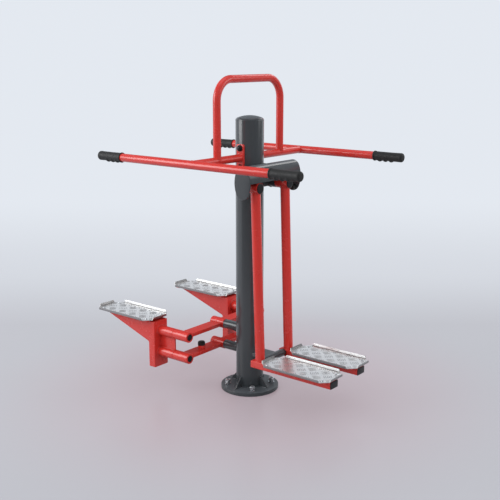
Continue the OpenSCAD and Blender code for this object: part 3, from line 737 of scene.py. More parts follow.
class Finish(Enum):
    """The finishes of the machine, under the names of the record's material slots."""

    # Upward faces: painted top shade on the red (0.8) and painted top light on the grey (2.0), with dust.
    RED_PAINT = PowderCoat("red_paint", (0.56, 0.028, 0.020), gloss=(0.24, 0.28), dust=0.8)
    GREY_PAINT = PowderCoat("grey_paint", (0.042, 0.047, 0.051), gloss=(0.22, 0.25), dust=2.0)
    BLACK_RUBBER = Moulded("black_rubber", (0.014, 0.014, 0.014), gloss=(0.50, 0.66), pores=900, depth=0.00008)
    BLACK_PLASTIC = Moulded("black_plastic", (0.005, 0.005, 0.006), gloss=(0.30, 0.40), pores=1500, depth=0.00003)
    # The tread's 0.35 darkens its bar flanks, bends and downward faces as painted shade.
    TREAD = BareMetal("tread", (0.80, 0.795, 0.79), gloss=(0.26, 0.32), grain=(0.06, 1, 1), depth=0.00003,
                      grime=0.35)
    ZINC = BareMetal("zinc", (0.78, 0.80, 0.82), gloss=(0.18, 0.30), grain=(1, 1, 1), depth=0.00004)
    BUSH = BareMetal("bush", (0.60, 0.38, 0.14), gloss=(0.30, 0.42), grain=(1, 1, 0.1), depth=0.00003)


MATERIALS: dict[Finish, bpy.types.Material] = {}


def material_of(finish: Finish) -> bpy.types.Material:
    """The finish's material, made once."""
    if finish not in MATERIALS:
        MATERIALS[finish] = finish.value.material()
    return MATERIALS[finish]


def place(name: str, shape: Shape, finish: Finish, body: str, *nodes: str,
          crease: float = 32) -> bpy.types.Object:
    """Makes a piece of the object from a shape.

    Args:
        name: the piece's name.
        shape: its surfaces, where they belong at rest.
        finish: its finish, which also names its slot.
        body: the body that it moves with.
        *nodes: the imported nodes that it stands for.
        crease: angle in degrees past which an edge stays sharp.

    Returns:
        The piece's object.
    """
    mesh = bpy.data.meshes.new(name)
    mesh.from_pydata((shape.points * MM).tolist(), [], shape.faces)
    work = bmesh.new()
    work.from_mesh(mesh)
    bmesh.ops.recalc_face_normals(work, faces=work.faces)
    work.to_mesh(mesh)
    work.free()
    mesh.shade_smooth()
    mesh.set_sharp_from_angle(angle=math.radians(crease))
    mesh.materials.append(material_of(finish))
    piece = bpy.data.objects.new(name, mesh)
    bpy.context.scene.collection.objects.link(piece)
    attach(piece, body)
    if nodes:
        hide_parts(*nodes)
    LOG.info("%s: %d faces, %s, on %s", name, len(mesh.polygons), finish.value.name, body)
    return piece


# POST AND BASE


@dataclass
class Post:
    """The post with its cap, its gussets and seams on the kept base plate, and the anchor hardware."""

    radius: float = 69.85
    wall: float = 4
    base_t: float = 18
    rim: float = 1378
    cap_gap: float = 0.6
    cap_shoulder: float = 12
    cap_turn: float = 22
    cap_sheet: float = 3
    collar_h: float = 20
    gusset_h: float = 52
    gusset_reach: float = 48
    gusset_t: float = 8
    pitch_r: float = 113.5
    washer_r: float = 15.2
    washer_t: float = 4
    nut_flats: float = 24
    nut_h: float = 12.7
    lock_nut_h: float = 8.8
    nut_bore: float = 8
    nut_turn: float = 15

    def build(self) -> None:
        """Builds and places every piece of the post."""
        place("post_tube", self.tube(), Finish.GREY_PAINT, "frame", "post")
        place("post_dome", self.cap(), Finish.GREY_PAINT, "frame", "post_cap")
        place("foot_seams", self.seams(), Finish.GREY_PAINT, "frame")
        place("stiffeners", self.gussets(), Finish.GREY_PAINT, "frame", "base_gussets")
        place("washers", self.at_anchors(self.washer()), Finish.ZINC, "frame", "anchor_washers")
        place("nuts", self.at_anchors(self.nut_stack()), Finish.ZINC, "frame", "anchor_nuts")

    def tube(self) -> Shape:
        """The post tube with a softened rim."""
        return tube(self.base_t, self.rim, self.radius, self.radius - self.wall, 0.9, 160)

    def cap(self) -> Shape:
        """The pressed cap: a shallow dome with a round shoulder, hollow, on a collar inside the tube.

        The shoulder is an arc of radius `cap_shoulder`. The dome's ball shares a tangent with it where the
        ball's surface has turned by `cap_turn` degrees. The collar fits the tube's bore with a little play.
        """
        reach, shoulder, turn = self.radius - 0.3, self.cap_shoulder, math.radians(self.cap_turn)
        foot = self.rim + self.cap_gap
        ball = (reach - shoulder * (1 - math.sin(turn))) / math.sin(turn)
        a = np.linspace(0, turn, 16)
        crown = foot + (shoulder - ball) * math.cos(turn)
        top = np.stack([ball * np.sin(a), crown + ball * np.cos(a)], axis=1)
        a = np.linspace(turn, QUARTER, 9)[1:]
        side = np.stack([reach - shoulder * (1 - np.sin(a)), foot + shoulder * np.cos(a)], axis=1)
        outside = np.vstack([top, side])
        collar_r, bore_r = self.radius - self.wall - 0.1, self.radius - self.wall - self.cap_sheet
        rolled = soften([outside[-1], (reach, self.rim + 0.25), (self.radius - 3, self.rim + 0.05),
                         (collar_r, self.rim)], [0, 0.2, 0.4, 0], 3, closed=False)
        low = self.rim - self.collar_h
        collar = np.array([(collar_r, low), (bore_r, low), (bore_r, self.rim + 1)])
        inside = (outside - np.array([0, self.cap_sheet]))[:-2][::-1]
        inside = inside[inside[:, 0] < bore_r - 1]
        return revolve(np.vstack([outside, rolled[1:], collar, inside])[::-1], 160)

    def seams(self) -> Shape:
        """Weld seams round the post's foot and its cap, and along both sides of the gussets."""
        low, lift, wall = self.base_t, self.base_t + 0.4, self.radius + 0.2
        rim_seam = round_seam(self.radius - 0.8, 1.5).moved(z=self.rim)
        parts = [round_seam(self.radius, 3.2).moved(z=low), rim_seam]
        for sign in (-1, 1):
            y = sign * (self.gusset_t / 2 + 0.4)
            toe = self.radius + self.gusset_reach - 1
            flat = straight_seam((self.radius + 3, y, lift), (toe, y, lift), (0, sign, 1))
            steep = straight_seam((wall, y, low + 3), (wall, y, low + self.gusset_h - 1), (1, sign, 0))
            parts += [(flat + steep).turned(90 * i) for i in range(4)]
        return together(parts)

    def gussets(self) -> Shape:
        """Four triangular stiffeners with softened edges."""
        x0, x1 = self.radius - 1.5, self.radius + self.gusset_reach
        outline = soften([(x0, self.base_t), (x1, self.base_t), (x1, self.base_t + 4),
                          (self.radius + 6, self.base_t + self.gusset_h), (x0, self.base_t + self.gusset_h)],
                         [0, 0.8, 2, 2, 0], 3)
        one = slab(outline, -self.gusset_t / 2, self.gusset_t / 2, 0.8).stood_up()
        return together([one.turned(90 * i) for i in range(4)])

    def at_anchors(self, shape: Shape) -> Shape:
        """A shape at each of the four anchor holes."""
        return together([shape.moved(x=self.pitch_r).turned(45 + 90 * i) for i in range(4)])

    def washer(self) -> Shape:
        """A plain washer."""
        return tube(self.base_t, self.base_t + self.washer_t, self.washer_r, self.nut_bore + 0.05, 0.5, 48)

    def nut_stack(self) -> Shape:
        """A nut with a thin lock nut on top, both bored."""
        low = hex_nut(self.nut_flats, self.nut_h, self.nut_bore).turned(self.nut_turn)
        lock = hex_nut(self.nut_flats, self.lock_nut_h, self.nut_bore).turned(-self.nut_turn)
        return (low + lock.moved(z=self.nut_h + 0.1)).moved(z=self.base_t + self.washer_t)


# HANDLE FRAME


@dataclass
class Handles:
    """The red tube frame: clamp plates, cross tubes, top loop and handlebars with their grips."""

    level: float = 1200
    loop_top: float = 1577
    bar_y: float = 423
    loop_y: float = 243
    bend: float = 100
    bar_len: float = 1210
    radius: float = 19
    rail_r: float = 20
    wall: float = 3
    plate_w: float = 44
    plate_h: float = 132
    plate_face: float = 75.85
    bolt_pitch: float = 94
    dome_r: float = 16.5
    dome_rise: float = 14
    dome_rim: float = 2
    post_r: float = POST_FACE
    grip_len: float = 160
    grip_r: float = 22.5
    grip_tip: float = 10
    collar_w: float = 7
    collar_rise: float = 2.4
    ridge_pitch: float = 32
    ridge_half: float = 13
    ridge_drop: float = 6
    ridge_reach: Pair = (15.5, 21.2)

    def build(self) -> None:
        """Builds and places every piece of the handle frame."""
        place("clamp_pair", both(self.clamp()), Finish.RED_PAINT, "frame", "clamp_plates")
        place("bolt_domes", both(self.domes()), Finish.BLACK_PLASTIC, "frame", "bolt_caps")
        place("loop_tube", self.loop(), Finish.RED_PAINT, "frame", "top_loop")
        place("frame_seams", both(self.seams()), Finish.RED_PAINT, "frame")
        for side in Side:
            word = side.word
            place(f"{word}_cross_bar", self.cross().on(side), Finish.RED_PAINT, "frame", f"cross_tube_{word}")
            place(f"{word}_long_bar", self.rail().on(side), Finish.RED_PAINT, "frame", f"{word}_handlebar")
            for end, grip in (("front", self.grip()), ("rear", self.grip().turned(180))):
                place(f"{word}_{end}_handgrip", grip.moved(y=side.value * self.bar_y, z=self.level),
                      Finish.BLACK_RUBBER, "frame", f"{word}_{end}_grip", crease=50)

    def clamp(self, corner: float = 8, edge: float = 1.6) -> Shape:
        """A clamp plate: flat and round-edged in front, hollowed to the post behind.

        Its front edge follows a quarter circle: with t from a right angle to 0, the outline shrinks by
        edge (1 - sin t) at the middle of its sides, and lies edge (1 - cos t) behind the face.

        Args:
            corner: radius of the plate's corners.
            edge: radius of its front edge.

        Returns:
            The plate of the far side.
        """
        half = np.array([self.plate_w, self.plate_h]) / 2
        outline = soften(np.array([(-1, -1), (1, -1), (1, 1), (-1, 1)]) * half, corner, 8)
        t = np.linspace(0, QUARTER, 4)[::-1, None, None]
        front = outline * (1 - edge * (1 - np.sin(t)) / half)
        flat = np.vstack([outline[None], front])
        seat = np.sqrt(self.post_r**2 - outline[None, :, :1] ** 2)
        y = np.vstack([seat, self.plate_face - edge * (1 - np.cos(t)) + 0 * front[..., :1]])
        return skin(np.concatenate([flat[..., :1], y, flat[..., 1:]], axis=2)).moved(z=self.level)

    def domes(self) -> Shape:
        """Domed covers over the two bolts of a clamp plate."""
        one = dome(self.dome_r, self.dome_rise, self.dome_rim).along_y().moved(y=self.plate_face)
        return together([one.moved(z=self.level + s * self.bolt_pitch / 2) for s in (-1, 1)])

    def cross(self) -> Shape:
        """A cross tube from its clamp plate to the handlebar, cut to the bar: y = bar_y - sqrt(R^2 - z^2)."""
        rings = []
        for r in (self.radius, self.radius - self.wall):
            x, z = circle(r, 64).T
            ends = (self.plate_face - 0.2 + 0 * x, self.bar_y - np.sqrt(self.rail_r**2 - z**2))
            rings.append([np.stack([x, y, z], axis=1) for y in ends])
        outer, inner = rings
        return skin(np.stack(outer + inner[::-1]), loop=True).moved(z=self.level)

    def loop(self) -> Shape:
        """The top loop: a tube up from one cross tube, over two bends and down again.

        Its feet are cut to the cross tubes: at x they end sqrt(R^2 - x^2) above the cross tubes' axis.
        """
        turn, inner = self.loop_top - self.bend, self.loop_y - self.bend
        a = np.linspace(0, QUARTER, 22)
        arc = np.stack([0 * a, -inner - self.bend * np.cos(a), turn + self.bend * np.sin(a)], axis=1)
        foot = np.array([(0, -self.loop_y, z) for z in (self.level, self.level + 30, turn - 30)])
        rise = np.vstack([foot, arc])
        path = np.vstack([rise, rise[::-1] * np.array([1, -1, 1])])
        skins = []
        for r in (self.radius, self.radius - self.wall):
            rings = carried(circle(r, 64), path, (1, 0, 0))
            for i in (0, -1):
                x = np.minimum(np.abs(rings[i, :, 0]), self.radius)
                rings[i, :, 2] = self.level + np.sqrt(self.radius**2 - x**2)
            skins.append(rings)
        return skin(np.concatenate([skins[0], skins[1][::-1]]), loop=True)

    def rail(self) -> Shape:
        """A handlebar tube."""
        half = self.bar_len / 2
        one = tube(-half, half, self.rail_r, self.rail_r - self.wall, 0.5)
        return one.along_x().moved(y=self.bar_y, z=self.level)

    def grip(self) -> Shape:
        """A rubber grip on the +X end: a sleeve, a collar, a round end and three finger ridges underneath.

        The radius at place s along the grip is the sleeve's, which is slimmer between its ends, with the
        collar's rise added at its start. Where a ridge's disc reaches further, the radius is the disc's.
        """
        end, tip = self.bar_len / 2, self.grip_tip
        start = end - self.grip_len + tip
        collar_end, face_r = start + self.collar_w, self.grip_r - tip
        s = np.concatenate([np.linspace(start, collar_end, 9), np.linspace(collar_end + 1, end, 96)])
        a = np.linspace(0, TURN, 72, endpoint=False)
        sleeve = self.grip_r - 0.6 * np.clip((s - start) / 60, 0, 1) * np.clip((end - s) / 40, 0, 1)
        lip = np.minimum((s - start) / 1.6 + 0.25, (collar_end - s) / 1.6)
        sleeve = sleeve + self.collar_rise * np.clip(lip, 0, 1) ** 0.5
        radius = np.repeat(sleeve[:, None], len(a), axis=1)
        for i in (1, 2, 3):
            near = np.clip(1 - np.abs(s - start - self.ridge_pitch * i) / self.ridge_half, 0, 1)
            radius = np.maximum(radius, self.ridge(near[:, None], a[None]))
        t = np.linspace(0, QUARTER, 9)[1:]
        tip_s = np.concatenate([end + tip * np.sin(t), end + tip + np.array([0, 0.6, 0.8])])
        tip_r = np.concatenate([face_r + tip * np.cos(t), [face_r - 0.01, face_r / 2, 0]])
        bore_s, bore_r = [end - 0.5, end - 0.5, start], np.array([0, 1, 1]) * (self.rail_r + 0.02)
        x = np.concatenate([bore_s, s, tip_s])[:, None] + 0 * a
        r = np.vstack([bore_r[:, None] + 0 * a, radius, tip_r[:, None] + 0 * a])
        return skin(np.stack([x, r * np.cos(a), r * np.sin(a)], axis=2))

    def ridge(self, near: Array, a: Array) -> Array:
        """How far a finger ridge reaches from the grip's axis at the angles a round it.

        The ridge is a disc with its centre d below the axis. Its radius r goes from the low to the high
        ridge_reach with sin(near pi / 2), where near is 0 at the ridge's foot and 1 at its crest. Seen from
        the axis it reaches sqrt(r^2 - (d cos a)^2) - d sin a.

        Args:
            near: nearness to the ridge's crest at each place along the grip.
            a: the angles round the grip.

        Returns:
            The reach at each place and angle, 0 away from the ridge.
        """
        (low, high), d = self.ridge_reach, self.ridge_drop
        r = low + (high - low) * np.sin(near * QUARTER)
        reach = np.sqrt(np.maximum(r**2 - (d * np.cos(a)) ** 2, 1)) - d * np.sin(a)
        return np.where(near > 0, reach, 0)

    def saddle(self, host_r: float) -> Shape:
        """A seam round a tube that stands on another, about the joint's centre.

        At the angle a it lies at (r cos a, r sin a, sqrt(host^2 - (r cos a)^2)), made a little larger.

        Args:
            host_r: radius of the tube that is stood on, which lies along Y.

        Returns:
            The seam, with the standing tube along Z.
        """
        a = np.linspace(0, TURN, 132, endpoint=False)
        x, y = self.radius * np.cos(a), self.radius * np.sin(a)
        path = np.stack([x, y, np.sqrt(host_r**2 - x**2)], axis=1) * 1.004
        out = np.stack([np.cos(a), np.sin(a), 0.8 + 0 * a], axis=1)
        return bead(path, out, 2.2)

    def seams(self) -> Shape:
        """The seams of one side: at the clamp plate, at the loop's foot and at the handlebar."""
        plate = round_seam(self.radius, 2.6).along_y().moved(y=self.plate_face, z=self.level)
        foot = self.saddle(self.radius).moved(y=self.loop_y, z=self.level)
        rail = self.saddle(self.rail_r).laid(UP, (1, 0, 0), (0, -1, 0))
        return together([plate, foot, rail.moved(y=self.bar_y, z=self.level)])


# ABDUCTOR HEAD


@dataclass
class Head:
    """The hood over the leg pivots, its end plates, the pivot arms and the rubber stops."""

    centre_x: float = 117.85
    level: float = 1099
    half_w: float = 48
    half_h: float = 78
    end_r: float = 40
    wall: float = 3
    inner_y: float = 198
    end_t: float = 5
    pivot_y: float = LEG_Y
    pivot_z: float = LEG_PIVOT
    hub_r: float = 28
    bore: float = 12.52
    tube_front: float = 83.85
    post_r: float = POST_FACE
    arm_x: float = 30
    arm_t: float = 16
    arm_h: float = 44
    arm_sunk: float = 8
    stop_r: float = 14
    stop_shift: float = 10
    stop_z: float = 1039
    stop_len: float = 24

    def build(self) -> None:
        """Builds and places every piece of the head."""
        place("hood_sheet", self.shell(), Finish.GREY_PAINT, "frame", "hood_shell")
        place("hood_ends", both(self.end_plate()), Finish.GREY_PAINT, "frame", "hood_end_plates")
        place("pivot_tubes", both(self.pivot_tube()), Finish.GREY_PAINT, "frame", "pivot_arms")
        place("swing_stops", both(self.stop()), Finish.BLACK_RUBBER, "frame", "outer_stops")

    def oval(self, inset: float, upper: bool = False) -> Array:
        """The oval of four arcs, or its upper half, shrunk by an inset.

        The ends are circles of radius end_r about (0, +-rise), and the sides are circles about (-+shift, 0)
        that touch them.

        Args:
            inset: how far it lies inside the hood's outline.
            upper: whether only the upper half is wanted.

        Returns:
            The (n, 2) points in X and Z about the hood's middle, anticlockwise.
        """
        rise = self.half_h - self.end_r
        gap = self.half_w - self.end_r
        shift = (rise**2 - gap**2) / (2 * gap)
        side_r, end_r = self.half_w + shift - inset, self.end_r - inset
        meet = math.atan2(rise, shift)

        def arc(x: float, z: float, r: float, start: float, stop: float, count: int) -> Array:
            """Points along an arc."""
            a = np.linspace(start, stop, count, endpoint=False)
            return np.stack([x + r * np.cos(a), z + r * np.sin(a)], axis=1)

        right_up = arc(-shift, 0, side_r, 0, meet, 14)
        top = arc(0, rise, end_r, meet, math.pi - meet, 30)
        left = arc(shift, 0, side_r, math.pi - meet, math.pi, 14)
        half = np.vstack([right_up, top, left])
        if upper:
            return np.vstack([half, [[-(self.half_w - inset), 0]]])
        return np.vstack([half, -half])

    def shell(self) -> Shape:
        """The bent sheet: the upper half oval, outside and inside, carried along Y."""
        section = np.vstack([self.oval(0, True), self.oval(self.wall, True)[::-1]])
        y = np.linspace(self.inner_y, -self.inner_y, 9)[:, None]
        x, z = section[None, :, 0], section[None, :, 1]
        rings = np.stack([x + 0 * y, y + 0 * x, z + 0 * y], axis=2)
        return skin(rings).moved(self.centre_x, 0, self.level)

    def end_plate(self) -> Shape:
        """The oval end plate, its outer edge well rounded."""
        plate = slab(self.oval(0), 0, self.end_t, 2.6, 0.2, 5)
        return plate.stood_up().moved(self.centre_x, self.inner_y, self.level)

    def pivot_tube(self) -> Shape:
        """A thick tube on a flat arm that reaches in to the post."""
        front = self.arm_x + self.arm_t
        thick = tube(self.arm_x, self.tube_front, self.hub_r, self.bore, 1.2)
        round_parts = thick + round_seam(self.hub_r, 2.6).moved(z=front)
        inner = math.sqrt(self.post_r**2 - self.arm_x**2) - self.arm_sunk
        arm = box((self.arm_x, inner, self.pivot_z - self.arm_h / 2),
                  (front, self.pivot_y - 6, self.pivot_z + self.arm_h / 2), 1.5)
        return round_parts.along_x().moved(y=self.pivot_y, z=self.pivot_z) + arm

    def stop(self) -> Shape:
        """A rubber bumper on the inside of an end plate."""
        body = knob(0, self.stop_len, self.stop_r, 0.5, 4)
        return body.along_y(-1).moved(self.centre_x + self.stop_shift, self.inner_y, self.stop_z)


@dataclass
class InnerStop:
    """The T-shaped stop low on the post, with its two buffers."""

    bar_x: float = 152
    level: float = 197
    radius: float = 19
    half: float = 76.7
    buffer_len: float = 10
    stem_w: float = 90
    stem_t: float = 20
    post_r: float = POST_FACE

    def build(self) -> None:
        """Builds and places the stop and its buffers."""
        place("t_stop", self.tee(), Finish.GREY_PAINT, "frame", "inner_stop")
        place("t_buffers", both(self.buffer()), Finish.BLACK_RUBBER, "frame", "inner_stop_buffers")

    def tee(self) -> Shape:
        """The stem, a flat bar from the post, and the cross tube with the seams between them."""
        profile = [(0, -self.half), (self.radius, -self.half), (self.radius, self.half), (0, self.half)]
        cross = revolve(soften(profile, [0, 0.8, 0.8, 0], 3, closed=False), 48).along_y().moved(self.bar_x)
        w, t = self.stem_w / 2, self.stem_t / 2
        back = math.sqrt(self.post_r**2 - w * w) - 2
        stem = slab([(back, -w), (self.bar_x, -w), (self.bar_x, w), (back, w)], -t, t, 2)
        meet = self.bar_x - math.sqrt(self.radius**2 - t * t) - 0.4
        seams = [straight_seam((meet, y, z), (meet, 0, z), (-1, 0, z / t), 2.6)
                 for y in (1 - w, w - 1) for z in (-t, t)]
        return together([cross, stem] + seams).moved(z=self.level)

    def buffer(self) -> Shape:
        """A rubber buffer at the cross tube's end."""
        body = knob(0, self.buffer_len, self.radius, 0.4, 3)
        return body.along_y().moved(self.bar_x, self.half, self.level)


# TREAD PLATES


@dataclass
class Tread:
    """A chequered aluminium plate with four bent rims, and its round-headed screws."""

    x: float
    y: float
    z: float
    length: float = 400
    width: float = 184
    sheet: float = 3
    rim_h: float = 15
    lean: float = 15
    bend: float = 3
    cut: float = 39
    taper: float = 0.5
    screw_inset: float = 40
    screw_pitch: float = 112
    cell: float = 37.7
    bars: int = 5
    bar_pitch: float = 8.6
    bar_half: float = 19
    bar_w: float = 2.3
    bar_h: float = 0.95
    bar_margin: float = 2
    shortest_bar: float = 9
    screw_room: float = 11

    def build(self, name: str, body: str, plate_node: str, screw_node: str) -> None:
        """Builds and places the plate and its screws.

        Args:
            name: what the pieces' names start with.
            body: the body that they move with.
            plate_node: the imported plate.
            screw_node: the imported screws.
        """
        here = {"x": self.x, "y": self.y, "z": self.z}
        place(f"{name}_tread", self.plate().moved(**here), Finish.TREAD, body, plate_node, crease=40)
        place(f"{name}_plate_screws", self.screws().moved(**here), Finish.ZINC, body, screw_node)

    def plate(self) -> Shape:
        """The sheet, its rims and its raised bars."""
        back = self.bend + self.sheet
        half_l, half_w = self.length / 2 - back, self.width / 2 - back
        cut = self.cut - back
        short_l, short_w = half_l - cut, half_w - cut
        half = np.array([(half_l, short_w), (short_l, half_w), (-short_l, half_w), (-half_l, short_w)])
        flat = slab(np.vstack([half, -half]), 0, self.sheet, 0.15, steps=1)
        long_rim = self.rim(2 * short_l).moved(y=half_w)
        short_rim = self.rim(2 * short_w).moved(y=half_l).turned(-90)
        rims = together([long_rim, long_rim.turned(180), short_rim, short_rim.turned(180)])
        return together([flat, rims, self.chequer(half_l, half_w, cut)])

    def rim(self, length: float) -> Shape:
        """A rim bent up at y = 0: a quarter bend and a leaning strip, with round ends and a round top edge.

        The band's middle line turns about (0, bend + sheet) and then runs straight. Its thickness lies along
        its normal, and its half-length shrinks by `taper` times what the line has risen.

        Args:
            length: the rim's length at its foot.

        Returns:
            The rim, along X.
        """
        turn = math.radians(90 - self.lean)
        mid_r = self.bend + self.sheet / 2
        a = np.linspace(0, turn, 7)
        bend = np.stack([mid_r * np.sin(a), self.bend + self.sheet - mid_r * np.cos(a)], axis=1)
        ahead = np.array([math.cos(turn), math.sin(turn)])
        run = np.linspace(0, (self.rim_h - bend[-1, 1]) / ahead[1], 5)[1:]
        line = np.vstack([bend, bend[-1] + run[:, None] * ahead])
        slope = np.concatenate([a, np.full(len(run), turn)])
        normal = np.stack([-np.sin(slope), np.cos(slope)], axis=1)
        half_t = np.full((len(line), 1), self.sheet / 2)
        half_t[-1] *= 0.72
        outer, inner = line - normal * half_t, line + normal * half_t
        y, z = np.vstack([outer, [line[-1] + 0.45 * ahead], inner[::-1]]).T
        reach = length / 2 - self.taper * np.clip(z - 1, 0, None)
        share = np.array([-1, -0.996, -0.5, 0, 0.5, 0.996, 1])[:, None]
        return skin(np.stack([share * reach, y + 0 * share, z + 0 * share], axis=2))

    def chequer(self, half_l: float, half_w: float, cut: float) -> Shape:
        """Raised bars in squares that stand on their corners, turned by a right angle from square to square.

        Square (i, j) lies at (i, j) times the cell where i + j is even, and its bars run along +-45 degrees
        by the parity of i. Along a bar, with s from -1 to 1, the half-width and the height both follow
        sqrt(1 - s^2).

        Args:
            half_l: half the flat sheet's length.
            half_w: half its width.
            cut: how much of its corners is cut off.

        Returns:
            Every bar, cut short where the flat sheet ends and at the screws.
        """
        s = np.sin(np.linspace(-QUARTER, QUARTER, 7))
        profile = np.sqrt(np.maximum(1 - s * s, 0))[:, None]
        across = np.array([-1, -0.82, -0.15, 0.15, 0.82, 1, 0.5, -0.5])
        height = np.array([-0.3, 0.55, 0.95, 0.95, 0.55, -0.3, -0.45, -0.45])
        one = np.stack([self.bar_half * s[:, None] + 0 * across, self.bar_w * profile * across,
                        self.sheet + self.bar_h * profile * height - 0.02], axis=2)[:, ::-1]
        shapes = []
        reach_i, reach_j = int(half_l / self.cell) + 1, int(half_w / self.cell) + 1
        squares = [(i, j) for i in range(-reach_i, reach_i + 1) for j in range(-reach_j, reach_j + 1)
                   if (i + j) % 2 == 0]
        for i, j in squares:
            angle = 45 if i % 2 else -45
            c, n = math.cos(math.radians(angle)), math.sin(math.radians(angle))
            for k in range(self.bars):
                off = (k - (self.bars - 1) / 2) * self.bar_pitch
                x, y = i * self.cell - n * off, j * self.cell + c * off
                low, high = self.clip(x, y, c, n, half_l - self.bar_margin, half_w - self.bar_margin, cut)
                if high - low >= self.shortest_bar:
                    points = one * np.array([(high - low) / 2 / self.bar_half, 1, 1])
                    cut_bar = skin(points + np.array([(high + low) / 2, 0, 0]))
                    shapes.append(cut_bar.turned(angle).moved(x, y))
        return together(shapes)

    def clip(self, x: float, y: float, c: float, n: float, half_l: float, half_w: float,
             cut: float) -> Pair:
        """The stretch of a bar through (x, y) along (c, n) that stays on the sheet, clear of the screws.

        Args:
            x: the bar's middle along the sheet.
            y: the bar's middle across it.
            c: the bar's direction along the sheet.
            n: the bar's direction across it.
            half_l: half the length that bars may cover.
            half_w: half the width that they may cover.
            cut: how much of the corners is cut off.

        Returns:
            Where it starts and ends, measured from the bar's middle.
        """
        low, high = -self.bar_half, self.bar_half
        limits = [(1, 0, half_l), (-1, 0, half_l), (0, 1, half_w), (0, -1, half_w)]
        limits += [(a, b, half_l + half_w - cut - self.bar_margin) for a in (-1, 1) for b in (-1, 1)]
        for a, b, reach in limits:
            speed, room = a * c + b * n, reach - a * x - b * y
            if abs(speed) < SAME:
                if room < 0:
                    return 0.0, 0.0
            elif speed > 0:
                high = min(high, room / speed)
            else:
                low = max(low, room / speed)
        for sx in (-1, 1):
            for sy in (-1, 1):
                px, py = sx * (self.length / 2 - self.screw_inset) - x, sy * self.screw_pitch / 2 - y
                along, aside = px * c + py * n, abs(-px * n + py * c)
                if aside < self.screw_room and low < along < high:
                    if along > 0:
                        high = min(high, along - self.screw_room)
                    else:
                        low = max(low, along + self.screw_room)
        return low, high

    def screws(self) -> Shape:
        """Four round-headed screws with a socket, each turned from one profile."""
        socket = [(0, 1.2), (2.6, 1.2), (2.9, 1.5), (2.9, 3.1)]
        head = [(4.6, 3.1), (6.3, 1.9), (7, 0.5), (6.9, 0), (0, 0)]
        one = revolve(np.array(socket + head)[::-1], 36).moved(z=self.sheet + 0.2)
        x, y = self.length / 2 - self.screw_inset, self.screw_pitch / 2
        return together([one.moved(a * x, b * y) for a in (-1, 1) for b in (-1, 1)])


@dataclass
class Straps:
    """The two cross bars under a tread plate."""

    half_pitch: float = 160
    half_w: float = 15
    half_l: float = 68
    height: float = PLATE_LIFT + 0.2

    def at(self, x: float, y: float, z: float) -> Shape:
        """The bars.

        Args:
            x: the plate's middle.
            y: the plate's middle.
            z: height of the face that they lie on.

        Returns:
            Both bars.
        """
        low, high = (x - self.half_w, y - self.half_l, z), (x + self.half_w, y + self.half_l, z + self.height)
        one = box(low, high, 1.2, 2)
        return one.moved(-self.half_pitch) + one.moved(self.half_pitch)

    def seams(self, x: float, y: float, z: float, half: float) -> Shape:
        """Weld seams along the bars' lower edges.

        Args:
            x: the plate's middle.
            y: the plate's middle.
            z: height of the seams.
            half: half their length.

        Returns:
            The four seams.
        """
        edges = [(x + s * self.half_pitch + t * (self.half_w + 0.3), t) for s in (-1, 1) for t in (-1, 1)]
        return together([straight_seam((at, y - half, z), (at, y + half, z), (t, 0, 1)) for at, t in edges])


# ABDUCTOR LEGS


